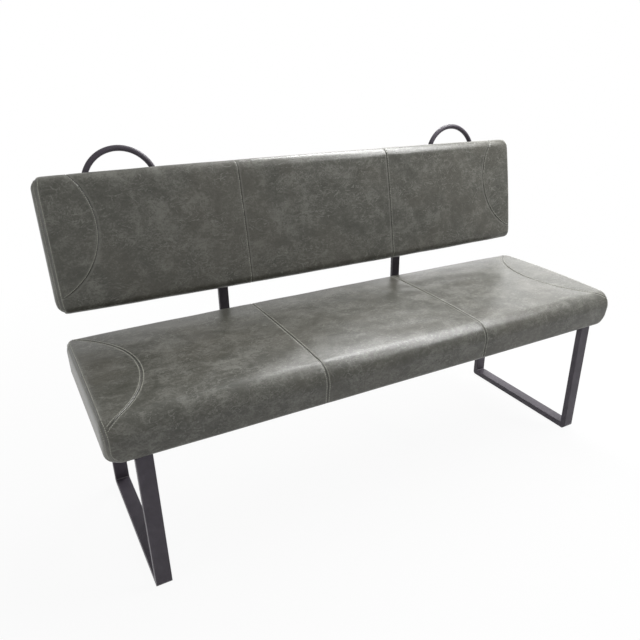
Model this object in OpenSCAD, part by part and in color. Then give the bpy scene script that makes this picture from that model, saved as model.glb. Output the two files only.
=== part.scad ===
// Upholstered bench with a leaning backrest, two sled legs and two loop handles.
// Millimetres. X runs along the bench, the sitter faces -Y and the floor is at z = 0.

/* [Seat cushion] */
// Overall length of the seat, side panels included
seat_l = 1610; // [1300:2:2000]
// Depth of the seat from its front face to its rear face
seat_d = 514; // [440:1:580]
// Thickness of the seat at its edges
seat_t = 111; // [90:1:125]
// Height of the seat's top edge above the floor
seat_h = 511; // [470:1:600]
// Rise of the crown of the seat above its edges
seat_crown = 4; // [1:0.5:10]
// Radius of the front top edge
seat_front_r = 48; // [30:1:55]
// Radius of the rear top edge
seat_rear_r = 22; // [12:1:40]
// Distance of the two cross seams of the seat from the middle
seat_seam_x = 262; // [180:1:320]
// Radius of the curved seams at the seat's ends
seat_arc_r = 300; // [290:1:340]
// Distance of a curved seam's innermost point from the end seam
seat_arc_in = 135; // [110:1:180]

/* [Back cushion] */
// Overall length of the backrest, side panels included
back_l = 1610; // [1300:2:2000]
// Height of the backrest, measured along its rear
back_h = 365; // [300:1:420]
// Thickness of the backrest at its lower edge
back_t_low = 70; // [60:1:90]
// Thickness of the backrest at its upper edge
back_t_top = 51; // [48:1:60]
// Free height between the seat's top edge and the backrest
back_gap = 58; // [30:1:90]
// Lean of the backrest's rear face, in degrees
back_lean = 7; // [3:0.5:12]
// Rise of the crown of the backrest above its edges
back_crown = 3; // [1:0.5:8]
// Radius of the lower front edge
back_low_r = 24; // [14:1:30]
// Radius of the upper front edge
back_top_r = 30; // [14:1:32]
// Distance of the two cross seams of the backrest from the middle
back_seam_x = 258; // [180:1:320]
// Radius of the curved seams at the backrest's ends
back_arc_r = 202; // [190:1:240]
// Distance of a curved seam's innermost point from the end seam
back_arc_in = 127; // [105:1:170]
// Height of the middle of a curved seam above the lower edge
back_arc_h = 233; // [215:1:245]

/* [Covers and padding] */
// Thickness of the cover material
cover_t = 1.2; // [0.8:0.1:1.6]
// Thickness of the wadding sewn under the cover
wadding_t = 8; // [7:0.5:9]
// Depth of the groove along a cross seam or curved seam
seam_dip = 3; // [1:0.5:4]
// Width over which the cover dips into a seam
seam_w = 14; // [8:1:24]
// Depth of the rounding along an end seam
end_dip = 4; // [2:0.5:4.5]
// Fall of a cushion's faces from the cross seams to the ends
end_fall = 3.5; // [0:0.5:4]
// Swell of each panel between its seams
puff = 1.5; // [0.5:0.5:4]
// Swell of the seat's side panels beyond their seams
seat_side_bulge = 5; // [2:0.5:12]
// Swell of the backrest's side panels beyond their seams
back_side_bulge = 10; // [6:0.5:16]
// Draw-in of the seat's front corners, seen from above
seat_front_in = 4; // [2:1:12]
// Draw-in of the seat's rear corners, seen from above
seat_rear_in = 12; // [4:1:18]
// Draw-in of the backrest's corners, seen from the front
back_corner_in = 6; // [4:1:18]
// Draw-in of the seat's ends towards the turned-under edge
seat_low_in = 24; // [8:1:30]
// Draw-in of the backrest's ends towards its rear edge
back_low_in = 4; // [1:1:10]
// Height over which the ends draw in above the turned-under edge
low_in_h = 36; // [24:1:45]
// Length over which a corner draws in
corner_in_l = 48; // [30:1:70]
// Radius of the edge where a cover turns under
low_r = 14; // [13:1:16]
// Draw-in of a cushion's sides at the turned-under edge
side_draw = 6; // [2:1:10]
// Width of the hem under the boards
hem_w = 62; // [50:1:90]

/* [Boards] */
// Thickness of the seat board
seat_board_t = 18; // [12:1:22]
// Thickness of the back board
back_board_t = 15; // [12:1:18]
// Distance of a board's edge from the cushion's outline
board_in = 24; // [22:1:36]
// Corner radius of the boards
board_corner_r = 30; // [10:1:60]
// Thickness of the dust cover under the seat
dust_t = 0.8; // [0.5:0.1:1.5]
// Distance of the dust cover's edge from the cushion's outline
dust_in = 40; // [36:1:44]
// Thickness of the rear panel of the backrest
rear_panel_t = 1.4; // [1:0.1:2.5]
// Distance of the rear panel's edge from the cushion's outline
rear_panel_in = 22; // [21:1:40]

/* [Sled legs] */
// Width of the leg tube, along the bench
leg_w = 40; // [30:1:60]
// Thickness of the leg tube
leg_t = 20; // [16:1:30]
// Wall of the leg tube
leg_wall = 2; // [1.5:0.5:3]
// Radius of the leg tube's long edges
leg_edge_r = 2.5; // [2:0.5:4]
// Outer radius of the loop's welded corners
leg_corner_r = 16; // [6:1:20]
// Distance from the seat's front face to the leg
leg_front_in = 21; // [10:1:40]
// Distance from the seat's rear face to the leg
leg_rear_in = 1; // [0.5:0.5:30]
// Distance from the seat's end to the leg's outer face
leg_side_in = 62; // [40:1:120]
// Thickness of a leg's mounting plate
plate_t = 5; // [4:1:8]
// Diameter of a floor glide
glide_d = 18; // [12:1:19]
// Height of a floor glide under the tube
glide_t = 2; // [1:0.5:5]
// Diameter of a glide's stem
glide_stem_d = 7; // [5:0.5:8]
// Length of a glide's stem, flange excluded
glide_stem_l = 12; // [6:1:15]

/* [Uprights] */
// Distance of the uprights from the middle
upright_x = 326; // [200:1:500]
// Width of an upright's flat bar
upright_w = 30; // [25:1:50]
// Thickness of an upright's flat bar
upright_t = 12; // [8:1:15]
// Inner radius of the bends
upright_bend_r = 12; // [8:1:25]
// Free space between the seat's rear face and an upright
upright_gap = 55; // [30:1:90]
// Length of the lower stretch of an upright, under the seat
upright_low_l = 272; // [220:1:340]
// Height of an upright's upper bend above the backrest's lower edge
upright_bend_h = 90; // [60:1:110]
// Height of an upright's upper end above the backrest's lower edge
upright_end_h = 262; // [230:1:300]

/* [Handles] */
// Distance of the handles from the middle
handle_x = 575; // [450:1:620]
// Radius of a handle's arch, at the middle of its tube
handle_r = 98; // [70:1:110]
// Diameter of a handle's tube
handle_d = 16; // [12:1:20]
// Wall of a handle's tube
handle_wall = 1.5; // [1:0.5:2.5]
// Height of the arch's centre above the backrest's lower edge
handle_mid_h = 320; // [300:1:335]
// Straight length of a handle's tube below the arch
handle_leg = 62; // [50:1:80]
// Height of the flat bar that carries a handle
handle_bar_h = 30; // [25:1:40]
// Thickness of the flat bar that carries a handle
handle_bar_t = 5; // [3:1:6]
// Spacing of the two bolts of a handle
handle_bolt_x = 110; // [80:1:120]

/* [Fasteners] */
// Thread diameter of the leg and upright bolts
bolt_d = 8; // [6:1:8]
// Thread diameter of the handle bolts
small_bolt_d = 6; // [5:1:6]
// Thickness of the washers
washer_t = 1.6; // [1:0.2:2]

/* [Hidden] */

// Clearances: between sewn panels, between soft and hard pieces, of a bolt in its
// hole, of a T-nut in its board, and the overrun of every cut
seam_gap = 0.3;
fit_gap = 0.2;
hole_gap = 1;
cut = 1;

// Counts of steps along a profile: large rounding, small rounding, crowned face
big_steps = 5;
small_steps = 3;
face_steps = 6;
corner_steps = 6;
$fn = 48;

// Colours as the photograph shows them
cover_colour = "#5c615a";
frame_colour = "#2d2e33";
foam_colour = "#d8d2b4";
board_colour = "#c6a36c";
zinc_colour = "#b4b8bb";

// Shares of the swell, of the outline's size and of its draw-in that a side panel's rings have
ring_bulge_shares = [0, 0.75, 1, 1];
ring_size_shares = [1, 0.965, 0.87, 0.62];
ring_in_shares = [1, 0.85, 0.5, 0.1];
// Shares, between the first and the last, at which the bolts under the seat sit
row_bolt_shares = [0, 0.5, 1];
// Shares of an upright's leaning stretch at which its bolts sit
lean_bolt_shares = [0.32, 0.88];
// Width of an end panel's tips
tip_w = 6;
// Overhang of a handle's flat bar past its tube on each side
bar_over = 14;

// Innermost x of the curved seams
seat_arc_x = seat_l / 2 - seat_side_bulge - seat_arc_in;
back_arc_x = back_l / 2 - back_side_bulge - back_arc_in;
// Cushion specification: length, depth, thickness at v = 0 and at v = depth, radii
// there, crown, curved seam's innermost x, its centre along v and its radius, draw-in
// of the corners at v = 0 and at v = depth, cross seam's x, swell of the side panels
// and draw-in of the ends towards w = 0
seat_spec = [seat_l, seat_d, seat_t, seat_t, seat_front_r, seat_rear_r, seat_crown,
             seat_arc_x, seat_d / 2, seat_arc_r, seat_front_in, seat_rear_in, seat_seam_x,
             seat_side_bulge, seat_low_in];
back_spec = [back_l, back_h, back_t_low, back_t_top, back_low_r, back_top_r, back_crown,
             back_arc_x, back_arc_h, back_arc_r, back_corner_in, back_corner_in, back_seam_x,
             back_side_bulge, back_low_in];
function length_of(spec) = spec[0];
function depth_of(spec) = spec[1];
function near_t_of(spec) = spec[2];
function far_t_of(spec) = spec[3];
function near_r_of(spec) = spec[4];
function far_r_of(spec) = spec[5];
function crown_of(spec) = spec[6];
function arc_x_of(spec) = spec[7];
function arc_v_of(spec) = spec[8];
function arc_r_of(spec) = spec[9];
function near_in_of(spec) = spec[10];
function far_in_of(spec) = spec[11];
function seam_x_of(spec) = spec[12];
function swell_of(spec) = spec[13];
function under_in_of(spec) = spec[14];

// Levels and places of the frame
under_z = seat_h - seat_t;
plate_z = under_z - dust_t - plate_t;
rail_z = glide_t;
leg_x = seat_l / 2 - leg_side_in - leg_w / 2;
leg_d = seat_d - leg_front_in - leg_rear_in;
plate_w = leg_w - 2 * leg_edge_r;
back_z = seat_h + back_gap;
upright_v = seat_d + upright_gap;
back_v = upright_v - rear_panel_t * cos(back_lean) - upright_bend_h * sin(back_lean);
handle_off = rear_panel_t + handle_bar_t + handle_d / 2;
handle_rear_v = back_v + (handle_mid_h + handle_r) * sin(back_lean)
    + handle_off * cos(back_lean) + handle_d / 2;
front_y = -(handle_rear_v - puff) / 2;
upright_top_z = under_z - dust_t;
bend_z = back_z + upright_bend_h * cos(back_lean) - rear_panel_t * sin(back_lean);
seat_core_x = seat_l / 2 - seat_side_bulge - max(seat_front_in, seat_rear_in)
    - seat_low_in - cover_t;
back_core_x = back_l / 2 - back_side_bulge - back_corner_in - back_low_in - cover_t;

// Fasteners: head, nut and washer sizes follow the thread
function head_d(d) = 1.75 * d;
function head_t(d) = 0.55 * d;
function key_d(d) = 0.72 * d;
function key_t(d) = 0.7 * head_t(d);
function nut_d(d) = 1.3 * d;
function flange_d(d) = 2.4 * d;
function flange_t(d) = 0.2 * d;
function ring_d(d) = 2.1 * d;

// Places of the bolts, as [x, v] in the seat's or the backrest's own plane. The bolts
// under the seat keep a washer's width clear of the hems and of the leg's tubes.
hem_clear = hem_w + ring_d(bolt_d);
upright_start_v = upright_v - upright_bend_r - upright_gap - upright_low_l;
leg_bolt_places = [
    for (side = [-1, 1], share = row_bolt_shares)
        let (first = max(hem_clear, leg_front_in + leg_t + ring_d(bolt_d)),
             last = seat_d - max(hem_clear, leg_rear_in + leg_t + ring_d(bolt_d)))
        [side * leg_x, first + (last - first) * share]
];
run_bolt_places = [
    for (side = [-1, 1], share = row_bolt_shares)
        let (first = upright_start_v + upright_w, last = seat_d - hem_clear)
        [side * upright_x, first + (last - first) * share]
];
lean_bolt_places = [
    for (side = [-1, 1], share = lean_bolt_shares)
        [side * upright_x, upright_bend_h + (upright_end_h - upright_bend_h) * share]
];
handle_bolt_places = [
    for (side = [-1, 1], end = [-1, 1])
        [side * handle_x + end * handle_bolt_x / 2, handle_mid_h - handle_leg + handle_bar_h / 2]
];

// A cushion's cross-section, as points [v, w, direction of the normal, swell, plan v]
function round_part(v, w, r, a0, a1, steps, s0, s1, plan) = [
    for (i = [0:steps])
        let (share = i / steps, a = a0 + (a1 - a0) * share)
        [v + r * cos(a), w + r * sin(a), a, s0 + (s1 - s0) * share,
         is_undef(plan) ? v + r * cos(a) : plan]
];
function crowned_part(spec) =
    let (start = near_r_of(spec), run = depth_of(spec) - start - far_r_of(spec),
         rise = far_t_of(spec) - near_t_of(spec), bow = 4 * crown_of(spec))
    [for (i = [1:face_steps - 1])
        let (share = i / face_steps, slope = (rise + bow * (1 - 2 * share)) / run)
        [start + run * share, near_t_of(spec) + rise * share + bow * share * (1 - share),
         90 + atan(slope), 1, start + run * share]];
function side_middle(t, r) = (low_r + t - r) / 2;
function profile(spec) =
    let (far_v = depth_of(spec), near_t = near_t_of(spec), far_t = far_t_of(spec),
         near_r = near_r_of(spec), far_r = far_r_of(spec))
    concat(
        [[hem_w, 0, -90, 0, 0]],
        round_part(side_draw + low_r, low_r, low_r, -90, -180, small_steps, 0, 1, 0),
        [[side_draw / 2, side_middle(near_t, near_r), 180, 1, 0]],
        round_part(near_r, near_t - near_r, near_r, 180, 90, big_steps, 1, 1),
        crowned_part(spec),
        round_part(far_v - far_r, far_t - far_r, far_r, 90, 0, big_steps, 1, 1),
        [[far_v - side_draw / 2, side_middle(far_t, far_r), 0, 1, far_v]],
        round_part(far_v - side_draw - low_r, low_r, low_r, 0, -90, small_steps, 1, 0, far_v),
        [[far_v - hem_w, 0, -90, 0, far_v]]);

// Where the end seam and the curved seam lie for a point of the cross-section
function end_x(spec, p) =
    length_of(spec) / 2 - swell_of(spec)
    - near_in_of(spec) * pow(max(0, 1 - p[4] / corner_in_l), 2)
    - far_in_of(spec) * pow(max(0, 1 - (depth_of(spec) - p[4]) / corner_in_l), 2)
    - under_in_of(spec) * pow(max(0, 1 - p[1] / low_in_h), 2);
function curve_x(spec, p) =
    let (dv = p[4] - arc_v_of(spec), reach = arc_r_of(spec))
    abs(dv) < reach ? arc_x_of(spec) + reach - sqrt(reach * reach - dv * dv) : length_of(spec);
function in_end_panel(spec, p) = curve_x(spec, p) < end_x(spec, p) - tip_w;

// Fall of the faces towards the ends
function fall(spec, x) =
    let (reach = length_of(spec) / 2 - swell_of(spec) - seam_x_of(spec))
    end_fall * pow(max(0, (abs(x) - seam_x_of(spec)) / reach), 2);

// A point of the cover at distance d outside the cross-section, and one on its inside
function outer_point(p, x, d) = [x, p[0] + d * p[3] * cos(p[2]), p[1] + d * p[3] * sin(p[2])];
function inner_point(p, x, gap) =
    let (d = -(cover_t + wadding_t * p[3]) - gap)
    [x, p[0] + d * cos(p[2]), p[1] + d * sin(p[2])];

// One sewn panel between the seams at xa and xb, which dip by dip_a and dip_b.
// Five columns of outer points run from seam to seam, two columns lie inside.
module panel(spec, points, xa, xb, dip_a, dip_b) {
    rows = len(points);
    outer = [
        for (i = [0:rows - 1])
            let (a = xa[i] + seam_gap / 2, b = xb[i] - seam_gap / 2,
                 run = min(seam_w, (b - a) / 4), full = run / seam_w,
                 low = (1 - full) * (dip_a[i] + dip_b[i]) / 2)
            each [
                outer_point(points[i], a, -dip_a[i] - fall(spec, a)),
                outer_point(points[i], a + run, -low - fall(spec, a + run)),
                outer_point(points[i], (a + b) / 2, puff * full - low - fall(spec, (a + b) / 2)),
                outer_point(points[i], b - run, -low - fall(spec, b - run)),
                outer_point(points[i], b, -dip_b[i] - fall(spec, b))
            ]
    ];
    inner = [
        for (i = [0:rows - 1])
            each [
                inner_point(points[i], xa[i] + seam_gap / 2, 0),
                inner_point(points[i], xb[i] - seam_gap / 2, 0)
            ]
    ];
    last = len(outer) / rows - 1;
    function o(i, k) = i * (last + 1) + k;
    function n(i, k) = len(outer) + i * 2 + k;
    polyhedron(concat(outer, inner), concat(
        [for (i = [0:rows - 2], k = [0:last - 1])
            each [[o(i, k), o(i + 1, k), o(i + 1, k + 1)], [o(i, k), o(i + 1, k + 1), o(i, k + 1)]]],
        [for (i = [0:rows - 2])
            each [
                [n(i, 0), n(i, 1), n(i + 1, 1)], [n(i, 0), n(i + 1, 1), n(i + 1, 0)],
                [o(i, 0), n(i, 0), n(i + 1, 0)], [o(i, 0), n(i + 1, 0), o(i + 1, 0)],
                [o(i, last), o(i + 1, last), n(i + 1, 1)], [o(i, last), n(i + 1, 1), n(i, 1)]
            ]],
        [for (k = [0:last - 1])
            each [[n(0, 0), o(0, k), o(0, k + 1)], [n(rows - 1, 0), o(rows - 1, k + 1), o(rows - 1, k)]]],
        [[n(0, 0), o(0, last), n(0, 1)], [n(rows - 1, 0), n(rows - 1, 1), o(rows - 1, last)]]
    ));
}

// The panel between the two cross seams
module centre_panel(spec) {
    points = profile(spec);
    dips = [for (p = points) seam_dip];
    panel(spec, points, [for (p = points) -seam_x_of(spec)], [for (p = points) seam_x_of(spec)], dips, dips);
}

// The panel from a cross seam to the curved seam, or to the end seam beyond the curve
module wing_panel(spec) {
    points = profile(spec);
    panel(spec, points, [for (p = points) seam_x_of(spec)],
        [for (p = points) in_end_panel(spec, p) ? curve_x(spec, p) : end_x(spec, p)],
        [for (p = points) seam_dip],
        [for (p = points) in_end_panel(spec, p) ? seam_dip : end_dip]);
}

// The panel between the curved seam and the end seam
module end_panel(spec) {
    points = [for (p = profile(spec)) if (in_end_panel(spec, p)) p];
    panel(spec, points, [for (p = points) curve_x(spec, p)], [for (p = points) end_x(spec, p)],
        [for (p = points) seam_dip], [for (p = points) end_dip]);
}

// The padded panel that closes a cushion's end: rings of the outline that swell outwards,
// a lip behind the end seam and a flat inner side
module side_panel(spec, core_x) {
    all = profile(spec);
    points = [for (i = [1:len(all) - 2]) all[i]];
    count = len(points);
    middle = [depth_of(spec) / 2, (near_t_of(spec) + far_t_of(spec)) / 4];
    plane_x = length_of(spec) / 2 - swell_of(spec);
    last = len(ring_size_shares) - 1;
    rings = [
        for (r = [0:last], p = points)
            let (x = end_x(spec, p) + seam_gap / 2, s = ring_size_shares[r],
                 q = outer_point(p, x, -end_dip - fall(spec, x)))
            [plane_x + (x - plane_x) * ring_in_shares[r] + swell_of(spec) * ring_bulge_shares[r],
             middle[0] + (q[1] - middle[0]) * s, middle[1] + (q[2] - middle[1]) * s]
    ];
    lip = [for (p = points) inner_point(p, end_x(spec, p) + seam_gap / 2, seam_gap)];
    base = [for (p = points) inner_point(p, core_x, seam_gap)];
    centres = [[length_of(spec) / 2, middle[0], middle[1]], [core_x, middle[0], middle[1]]];
    // Rows from the swell's middle outwards, round the lip and in to the base
    order = concat([for (r = [last:-1:0]) r], [last + 1, last + 2]);
    top = len(order) * count;
    function at(row, i) = order[row] * count + i % count;
    polyhedron(concat(rings, lip, base, centres), concat(
        [for (i = [0:count - 1]) [top, at(0, i), at(0, i + 1)]],
        [for (row = [0:len(order) - 2], i = [0:count - 1])
            each [[at(row, i), at(row + 1, i), at(row + 1, i + 1)],
                  [at(row, i), at(row + 1, i + 1), at(row, i + 1)]]],
        [for (i = [0:count - 1]) [at(len(order) - 1, i), top + 1, at(len(order) - 1, i + 1)]]
    ));
}

// A flat outline with round corners
function round_outline(x, v0, v1, r) = [
    for (c = [[x - r, v0 + r, -90], [x - r, v1 - r, 0], [-x + r, v1 - r, 90], [-x + r, v0 + r, 180]],
         i = [0:corner_steps])
        [c[0] + r * cos(c[2] + 90 * i / corner_steps), c[1] + r * sin(c[2] + 90 * i / corner_steps)]
];

// A flat board with stepped holes for the T-nuts at the given places
module board(x, depth, t, places, sizes) {
    difference() {
        translate([0, 0, cover_t])
            linear_extrude(t) polygon(round_outline(x, board_in, depth - board_in, board_corner_r));
        for (i = [0:len(places) - 1])
            translate([places[i][0], places[i][1], cover_t]) {
                translate([0, 0, -cut]) cylinder(d = nut_d(sizes[i]) + fit_gap, h = t + 2 * cut);
                translate([0, 0, t - flange_t(sizes[i])])
                    cylinder(d = flange_d(sizes[i]) + fit_gap, h = flange_t(sizes[i]) + cut);
            }
    }
}

// The foam block: it fills the wadded cover and has a pocket for its board
module foam(spec, core_x, board_t) {
    inside = [for (p = profile(spec)) inner_point(p, 0, fit_gap)];
    half = core_x - fit_gap;
    difference() {
        rotate([90, 0, 90]) translate([0, 0, -half])
            linear_extrude(2 * half) polygon([for (q = inside) [q[1], q[2]]]);
        translate([-board_x(core_x) - fit_gap, board_in - fit_gap, -cut])
            cube([2 * board_x(core_x) + 2 * fit_gap, depth_of(spec) - 2 * board_in + 2 * fit_gap,
                  cut + cover_t + board_t + fit_gap]);
    }
}
function board_x(core_x) = core_x - low_r;

// A thin sheet under a board, with bolt holes
module sheet(x, inset, depth, t, r, places, sizes) {
    difference() {
        translate([0, 0, -t])
            linear_extrude(t) polygon(round_outline(x, inset, depth - inset, r));
        for (i = [0:len(places) - 1])
            translate([places[i][0], places[i][1], -t - cut])
                cylinder(d = sizes[i] + hole_gap, h = t + 2 * cut);
    }
}

// A T-nut: flanged barrel with a threaded bore, its flange flush with the board's top
module tnut(d, board_t) {
    difference() {
        union() {
            translate([0, 0, cover_t + board_t - flange_t(d)]) cylinder(d = flange_d(d), h = flange_t(d));
            translate([0, 0, cover_t + fit_gap])
                cylinder(d = nut_d(d), h = board_t - fit_gap - flange_t(d) / 2);
        }
        translate([0, 0, -cut]) cylinder(d = d + fit_gap, h = cover_t + board_t + 2 * cut);
    }
}

// A button-head bolt with a hexagon socket; its head rests on z = 0 and points down
module bolt(d, length) {
    difference() {
        union() {
            translate([0, 0, -head_t(d)]) cylinder(d = head_d(d), h = head_t(d));
            translate([0, 0, -head_t(d) / 2]) cylinder(d = d, h = length + head_t(d) / 2);
        }
        translate([0, 0, -head_t(d) - cut])
            cylinder(d = key_d(d), h = cut + key_t(d), $fn = 6);
    }
}
module washer(d) {
    difference() {
        cylinder(d = ring_d(d), h = washer_t);
        translate([0, 0, -cut]) cylinder(d = d + fit_gap, h = washer_t + 2 * cut);
    }
}

// Frames of the seat and of the backrest: x along the bench, v across, w outwards
module at_seat() {
    translate([0, front_y, under_z]) children();
}
module at_back() {
    translate([0, front_y + back_v, back_z]) rotate([90 - back_lean, 0, 0]) children();
}
module at_places(places) {
    for (p = places)
        translate([p[0], p[1], 0]) children();
}

// Leg tube section, hollow along its length, standing on z = 0 with its wide side along x
function tube_outline(w, t, r) = [
    for (c = [[w / 2 - r, t - r, 0], [-w / 2 + r, t - r, 90], [-w / 2 + r, r, 180], [w / 2 - r, r, 270]],
         i = [0:corner_steps])
        [c[0] + r * cos(c[2] + 90 * i / corner_steps), c[1] + r * sin(c[2] + 90 * i / corner_steps)]
];
module tube_bar(length) {
    linear_extrude(length) polygon(tube_outline(leg_w, leg_t, leg_edge_r));
}
// Side views of the mitred pieces, drawn as [v, z] from the loop's lower front corner.
// The bore runs through the whole loop, from the top of one upright to the other's.
leg_h = plate_z - rail_z;
function corner_arc(a0, a1, inset) = [
    for (i = [0:corner_steps])
        let (a = a0 + (a1 - a0) * i / corner_steps, r = leg_corner_r - inset)
        [leg_corner_r + r * cos(a), leg_corner_r + r * sin(a)]
];
function to_rear(side) = [for (i = [len(side) - 1:-1:0]) [leg_d - side[i][0], side[i][1]]];
function upright_side() =
    concat([[0, leg_h]], corner_arc(180, 225, 0), [[leg_t, leg_t], [leg_t, leg_h]]);
function rail_side() =
    let (arc = corner_arc(225, 270, 0), inside = [[leg_t, leg_t]])
    concat(arc, to_rear(arc), to_rear(inside), inside);
function bore_side() =
    let (outside = concat([[leg_wall, leg_h + cut]], corner_arc(180, 270, leg_wall)),
         inner = leg_t - leg_wall, inside = [[inner, inner], [inner, leg_h + cut]])
    concat(outside, to_rear(outside), to_rear(inside), inside);
module side_prism(width, outline) {
    translate([-width / 2, 0, 0]) rotate([90, 0, 90]) linear_extrude(width) polygon(outline);
}
module leg_upright() {
    difference() {
        intersection() {
            tube_bar(leg_h);
            side_prism(leg_w + 2 * cut, upright_side());
        }
        side_prism(leg_w - 2 * leg_wall, bore_side());
    }
}
module leg_rail() {
    difference() {
        intersection() {
            translate([0, 0, leg_t]) rotate([-90, 0, 0]) tube_bar(leg_d);
            side_prism(leg_w + 2 * cut, rail_side());
        }
        side_prism(leg_w - 2 * leg_wall, bore_side());
        for (v = [glide_place, leg_d - glide_place])
            translate([0, v, -cut]) cylinder(d = glide_stem_d, h = leg_t / 2 + cut);
    }
}
glide_place = leg_t + glide_d;
module at_leg(side) {
    translate([side * leg_x, front_y + leg_front_in, rail_z]) children();
}
module leg_front(side) {
    color(frame_colour) at_leg(side) leg_upright();
}
module leg_rear(side) {
    color(frame_colour) at_leg(side) translate([0, leg_d, 0]) mirror([0, 1, 0]) leg_upright();
}
module leg_bottom(side) {
    color(frame_colour) at_leg(side) leg_rail();
}
module leg_plate(side) {
    color(frame_colour) difference() {
        translate([side * leg_x - plate_w / 2, front_y + leg_front_in, plate_z])
            cube([plate_w, leg_d, plate_t]);
        at_seat() at_places(leg_bolt_places)
            translate([0, 0, -dust_t - plate_t - cut])
                cylinder(d = bolt_d + hole_gap, h = plate_t + 2 * cut);
    }
}

// An upright's flat bar: under the seat, up behind it and leaning along the backrest.
// Its side view, as [v, z], runs along one face and back along the other: dist is the
// distance from the face that touches the seat and the backrest.
function bend_arc(v, z, r, a0, a1) = [
    for (i = [0:corner_steps])
        let (a = a0 + (a1 - a0) * i / corner_steps)
        [v + r * cos(a), z + r * sin(a)]
];
function bar_face(dist) =
    let (far_r = upright_bend_r + upright_t,
         lean_x = far_r * tan(back_lean / 2),
         lean_l = upright_end_h - upright_bend_h - lean_x,
         lean = bend_arc(upright_v + far_r, bend_z - lean_x, far_r - dist, 180, 180 - back_lean),
         last = lean[corner_steps])
    concat([[upright_start_v, upright_top_z - dist]],
        bend_arc(upright_v - upright_bend_r, upright_top_z + upright_bend_r,
            upright_bend_r + dist, -90, 0),
        lean,
        [[last[0] + lean_l * sin(back_lean), last[1] + lean_l * cos(back_lean)]]);
module upright_bar() {
    near = bar_face(0);
    far = bar_face(upright_t);
    translate([-upright_w / 2, 0, 0]) rotate([90, 0, 90])
        linear_extrude(upright_w)
            polygon(concat(near, [for (i = [len(far) - 1:-1:0]) far[i]]));
}
module upright(side) {
    color(frame_colour) difference() {
        translate([side * upright_x, front_y, 0]) upright_bar();
        at_seat() at_places(run_bolt_places)
            translate([0, 0, -dust_t - upright_t - cut])
                cylinder(d = bolt_d + hole_gap, h = upright_t + 2 * cut);
        at_back() at_places(lean_bolt_places)
            translate([0, 0, -rear_panel_t - upright_t - cut])
                cylinder(d = bolt_d + hole_gap, h = upright_t + 2 * cut);
    }
}

// A handle: a round tube bent to an arch, welded to a flat bar behind the backrest
module arch(d) {
    rotate_extrude(angle = 180) translate([handle_r, 0]) circle(d = d);
    for (end = [-1, 1])
        translate([end * handle_r, 0, 0]) rotate([90, 0, 0]) cylinder(d = d, h = handle_leg);
}
module handle(side) {
    color(frame_colour) at_back() translate([side * handle_x, handle_mid_h, -handle_off])
        difference() {
            arch(handle_d);
            arch(handle_d - 2 * handle_wall);
            for (end = [-1, 1])
                translate([end * handle_r, -handle_leg + cut, 0]) rotate([90, 0, 0])
                    cylinder(d = handle_d - 2 * handle_wall, h = 2 * cut);
        }
}
module handle_bar(side) {
    half = handle_r + bar_over;
    color(frame_colour) at_back() difference() {
        translate([side * handle_x - half, handle_mid_h - handle_leg, -rear_panel_t - handle_bar_t])
            cube([2 * half, handle_bar_h, handle_bar_t]);
        at_places(handle_bolt_places)
            translate([0, 0, -rear_panel_t - handle_bar_t - cut])
                cylinder(d = small_bolt_d + hole_gap, h = handle_bar_t + 2 * cut);
    }
}

// Seat
all_seat_places = concat(leg_bolt_places, run_bolt_places);
module seat_board() {
    color(board_colour) at_seat()
        board(board_x(seat_core_x), seat_d, seat_board_t, all_seat_places,
            [for (p = all_seat_places) bolt_d]);
}
module seat_foam() {
    color(foam_colour) at_seat() foam(seat_spec, seat_core_x, seat_board_t);
}
module seat_centre_panel() {
    color(cover_colour) at_seat() centre_panel(seat_spec);
}
module seat_left_panel() {
    color(cover_colour) at_seat() mirror([1, 0, 0]) wing_panel(seat_spec);
}
module seat_right_panel() {
    color(cover_colour) at_seat() wing_panel(seat_spec);
}
module seat_left_end_panel() {
    color(cover_colour) at_seat() mirror([1, 0, 0]) end_panel(seat_spec);
}
module seat_right_end_panel() {
    color(cover_colour) at_seat() end_panel(seat_spec);
}
module seat_left_side() {
    color(cover_colour) at_seat() mirror([1, 0, 0]) side_panel(seat_spec, seat_core_x);
}
module seat_right_side() {
    color(cover_colour) at_seat() side_panel(seat_spec, seat_core_x);
}
module seat_dust_cover() {
    color(frame_colour) at_seat()
        sheet(seat_l / 2 - dust_in, dust_in, seat_d, dust_t, board_corner_r, all_seat_places,
            [for (p = all_seat_places) bolt_d]);
}
module seat_tnuts() {
    color(zinc_colour) at_seat() at_places(all_seat_places) tnut(bolt_d, seat_board_t);
}

// Backrest
all_back_places = concat(lean_bolt_places, handle_bolt_places);
back_place_sizes = concat([for (p = lean_bolt_places) bolt_d],
    [for (p = handle_bolt_places) small_bolt_d]);
module back_board() {
    color(board_colour) at_back()
        board(board_x(back_core_x), back_h, back_board_t, all_back_places, back_place_sizes);
}
module back_foam() {
    color(foam_colour) at_back() foam(back_spec, back_core_x, back_board_t);
}
module back_centre_panel() {
    color(cover_colour) at_back() centre_panel(back_spec);
}
module back_left_panel() {
    color(cover_colour) at_back() mirror([1, 0, 0]) wing_panel(back_spec);
}
module back_right_panel() {
    color(cover_colour) at_back() wing_panel(back_spec);
}
module back_left_end_panel() {
    color(cover_colour) at_back() mirror([1, 0, 0]) end_panel(back_spec);
}
module back_right_end_panel() {
    color(cover_colour) at_back() end_panel(back_spec);
}
module back_left_side() {
    color(cover_colour) at_back() mirror([1, 0, 0]) side_panel(back_spec, back_core_x);
}
module back_right_side() {
    color(cover_colour) at_back() side_panel(back_spec, back_core_x);
}
module back_rear_panel() {
    color(cover_colour) at_back()
        sheet(back_l / 2 - rear_panel_in, rear_panel_in, back_h, rear_panel_t, board_corner_r,
            all_back_places, back_place_sizes);
}
module back_tnuts() {
    color(zinc_colour) at_back() at_places(lean_bolt_places) tnut(bolt_d, back_board_t);
}
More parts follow.
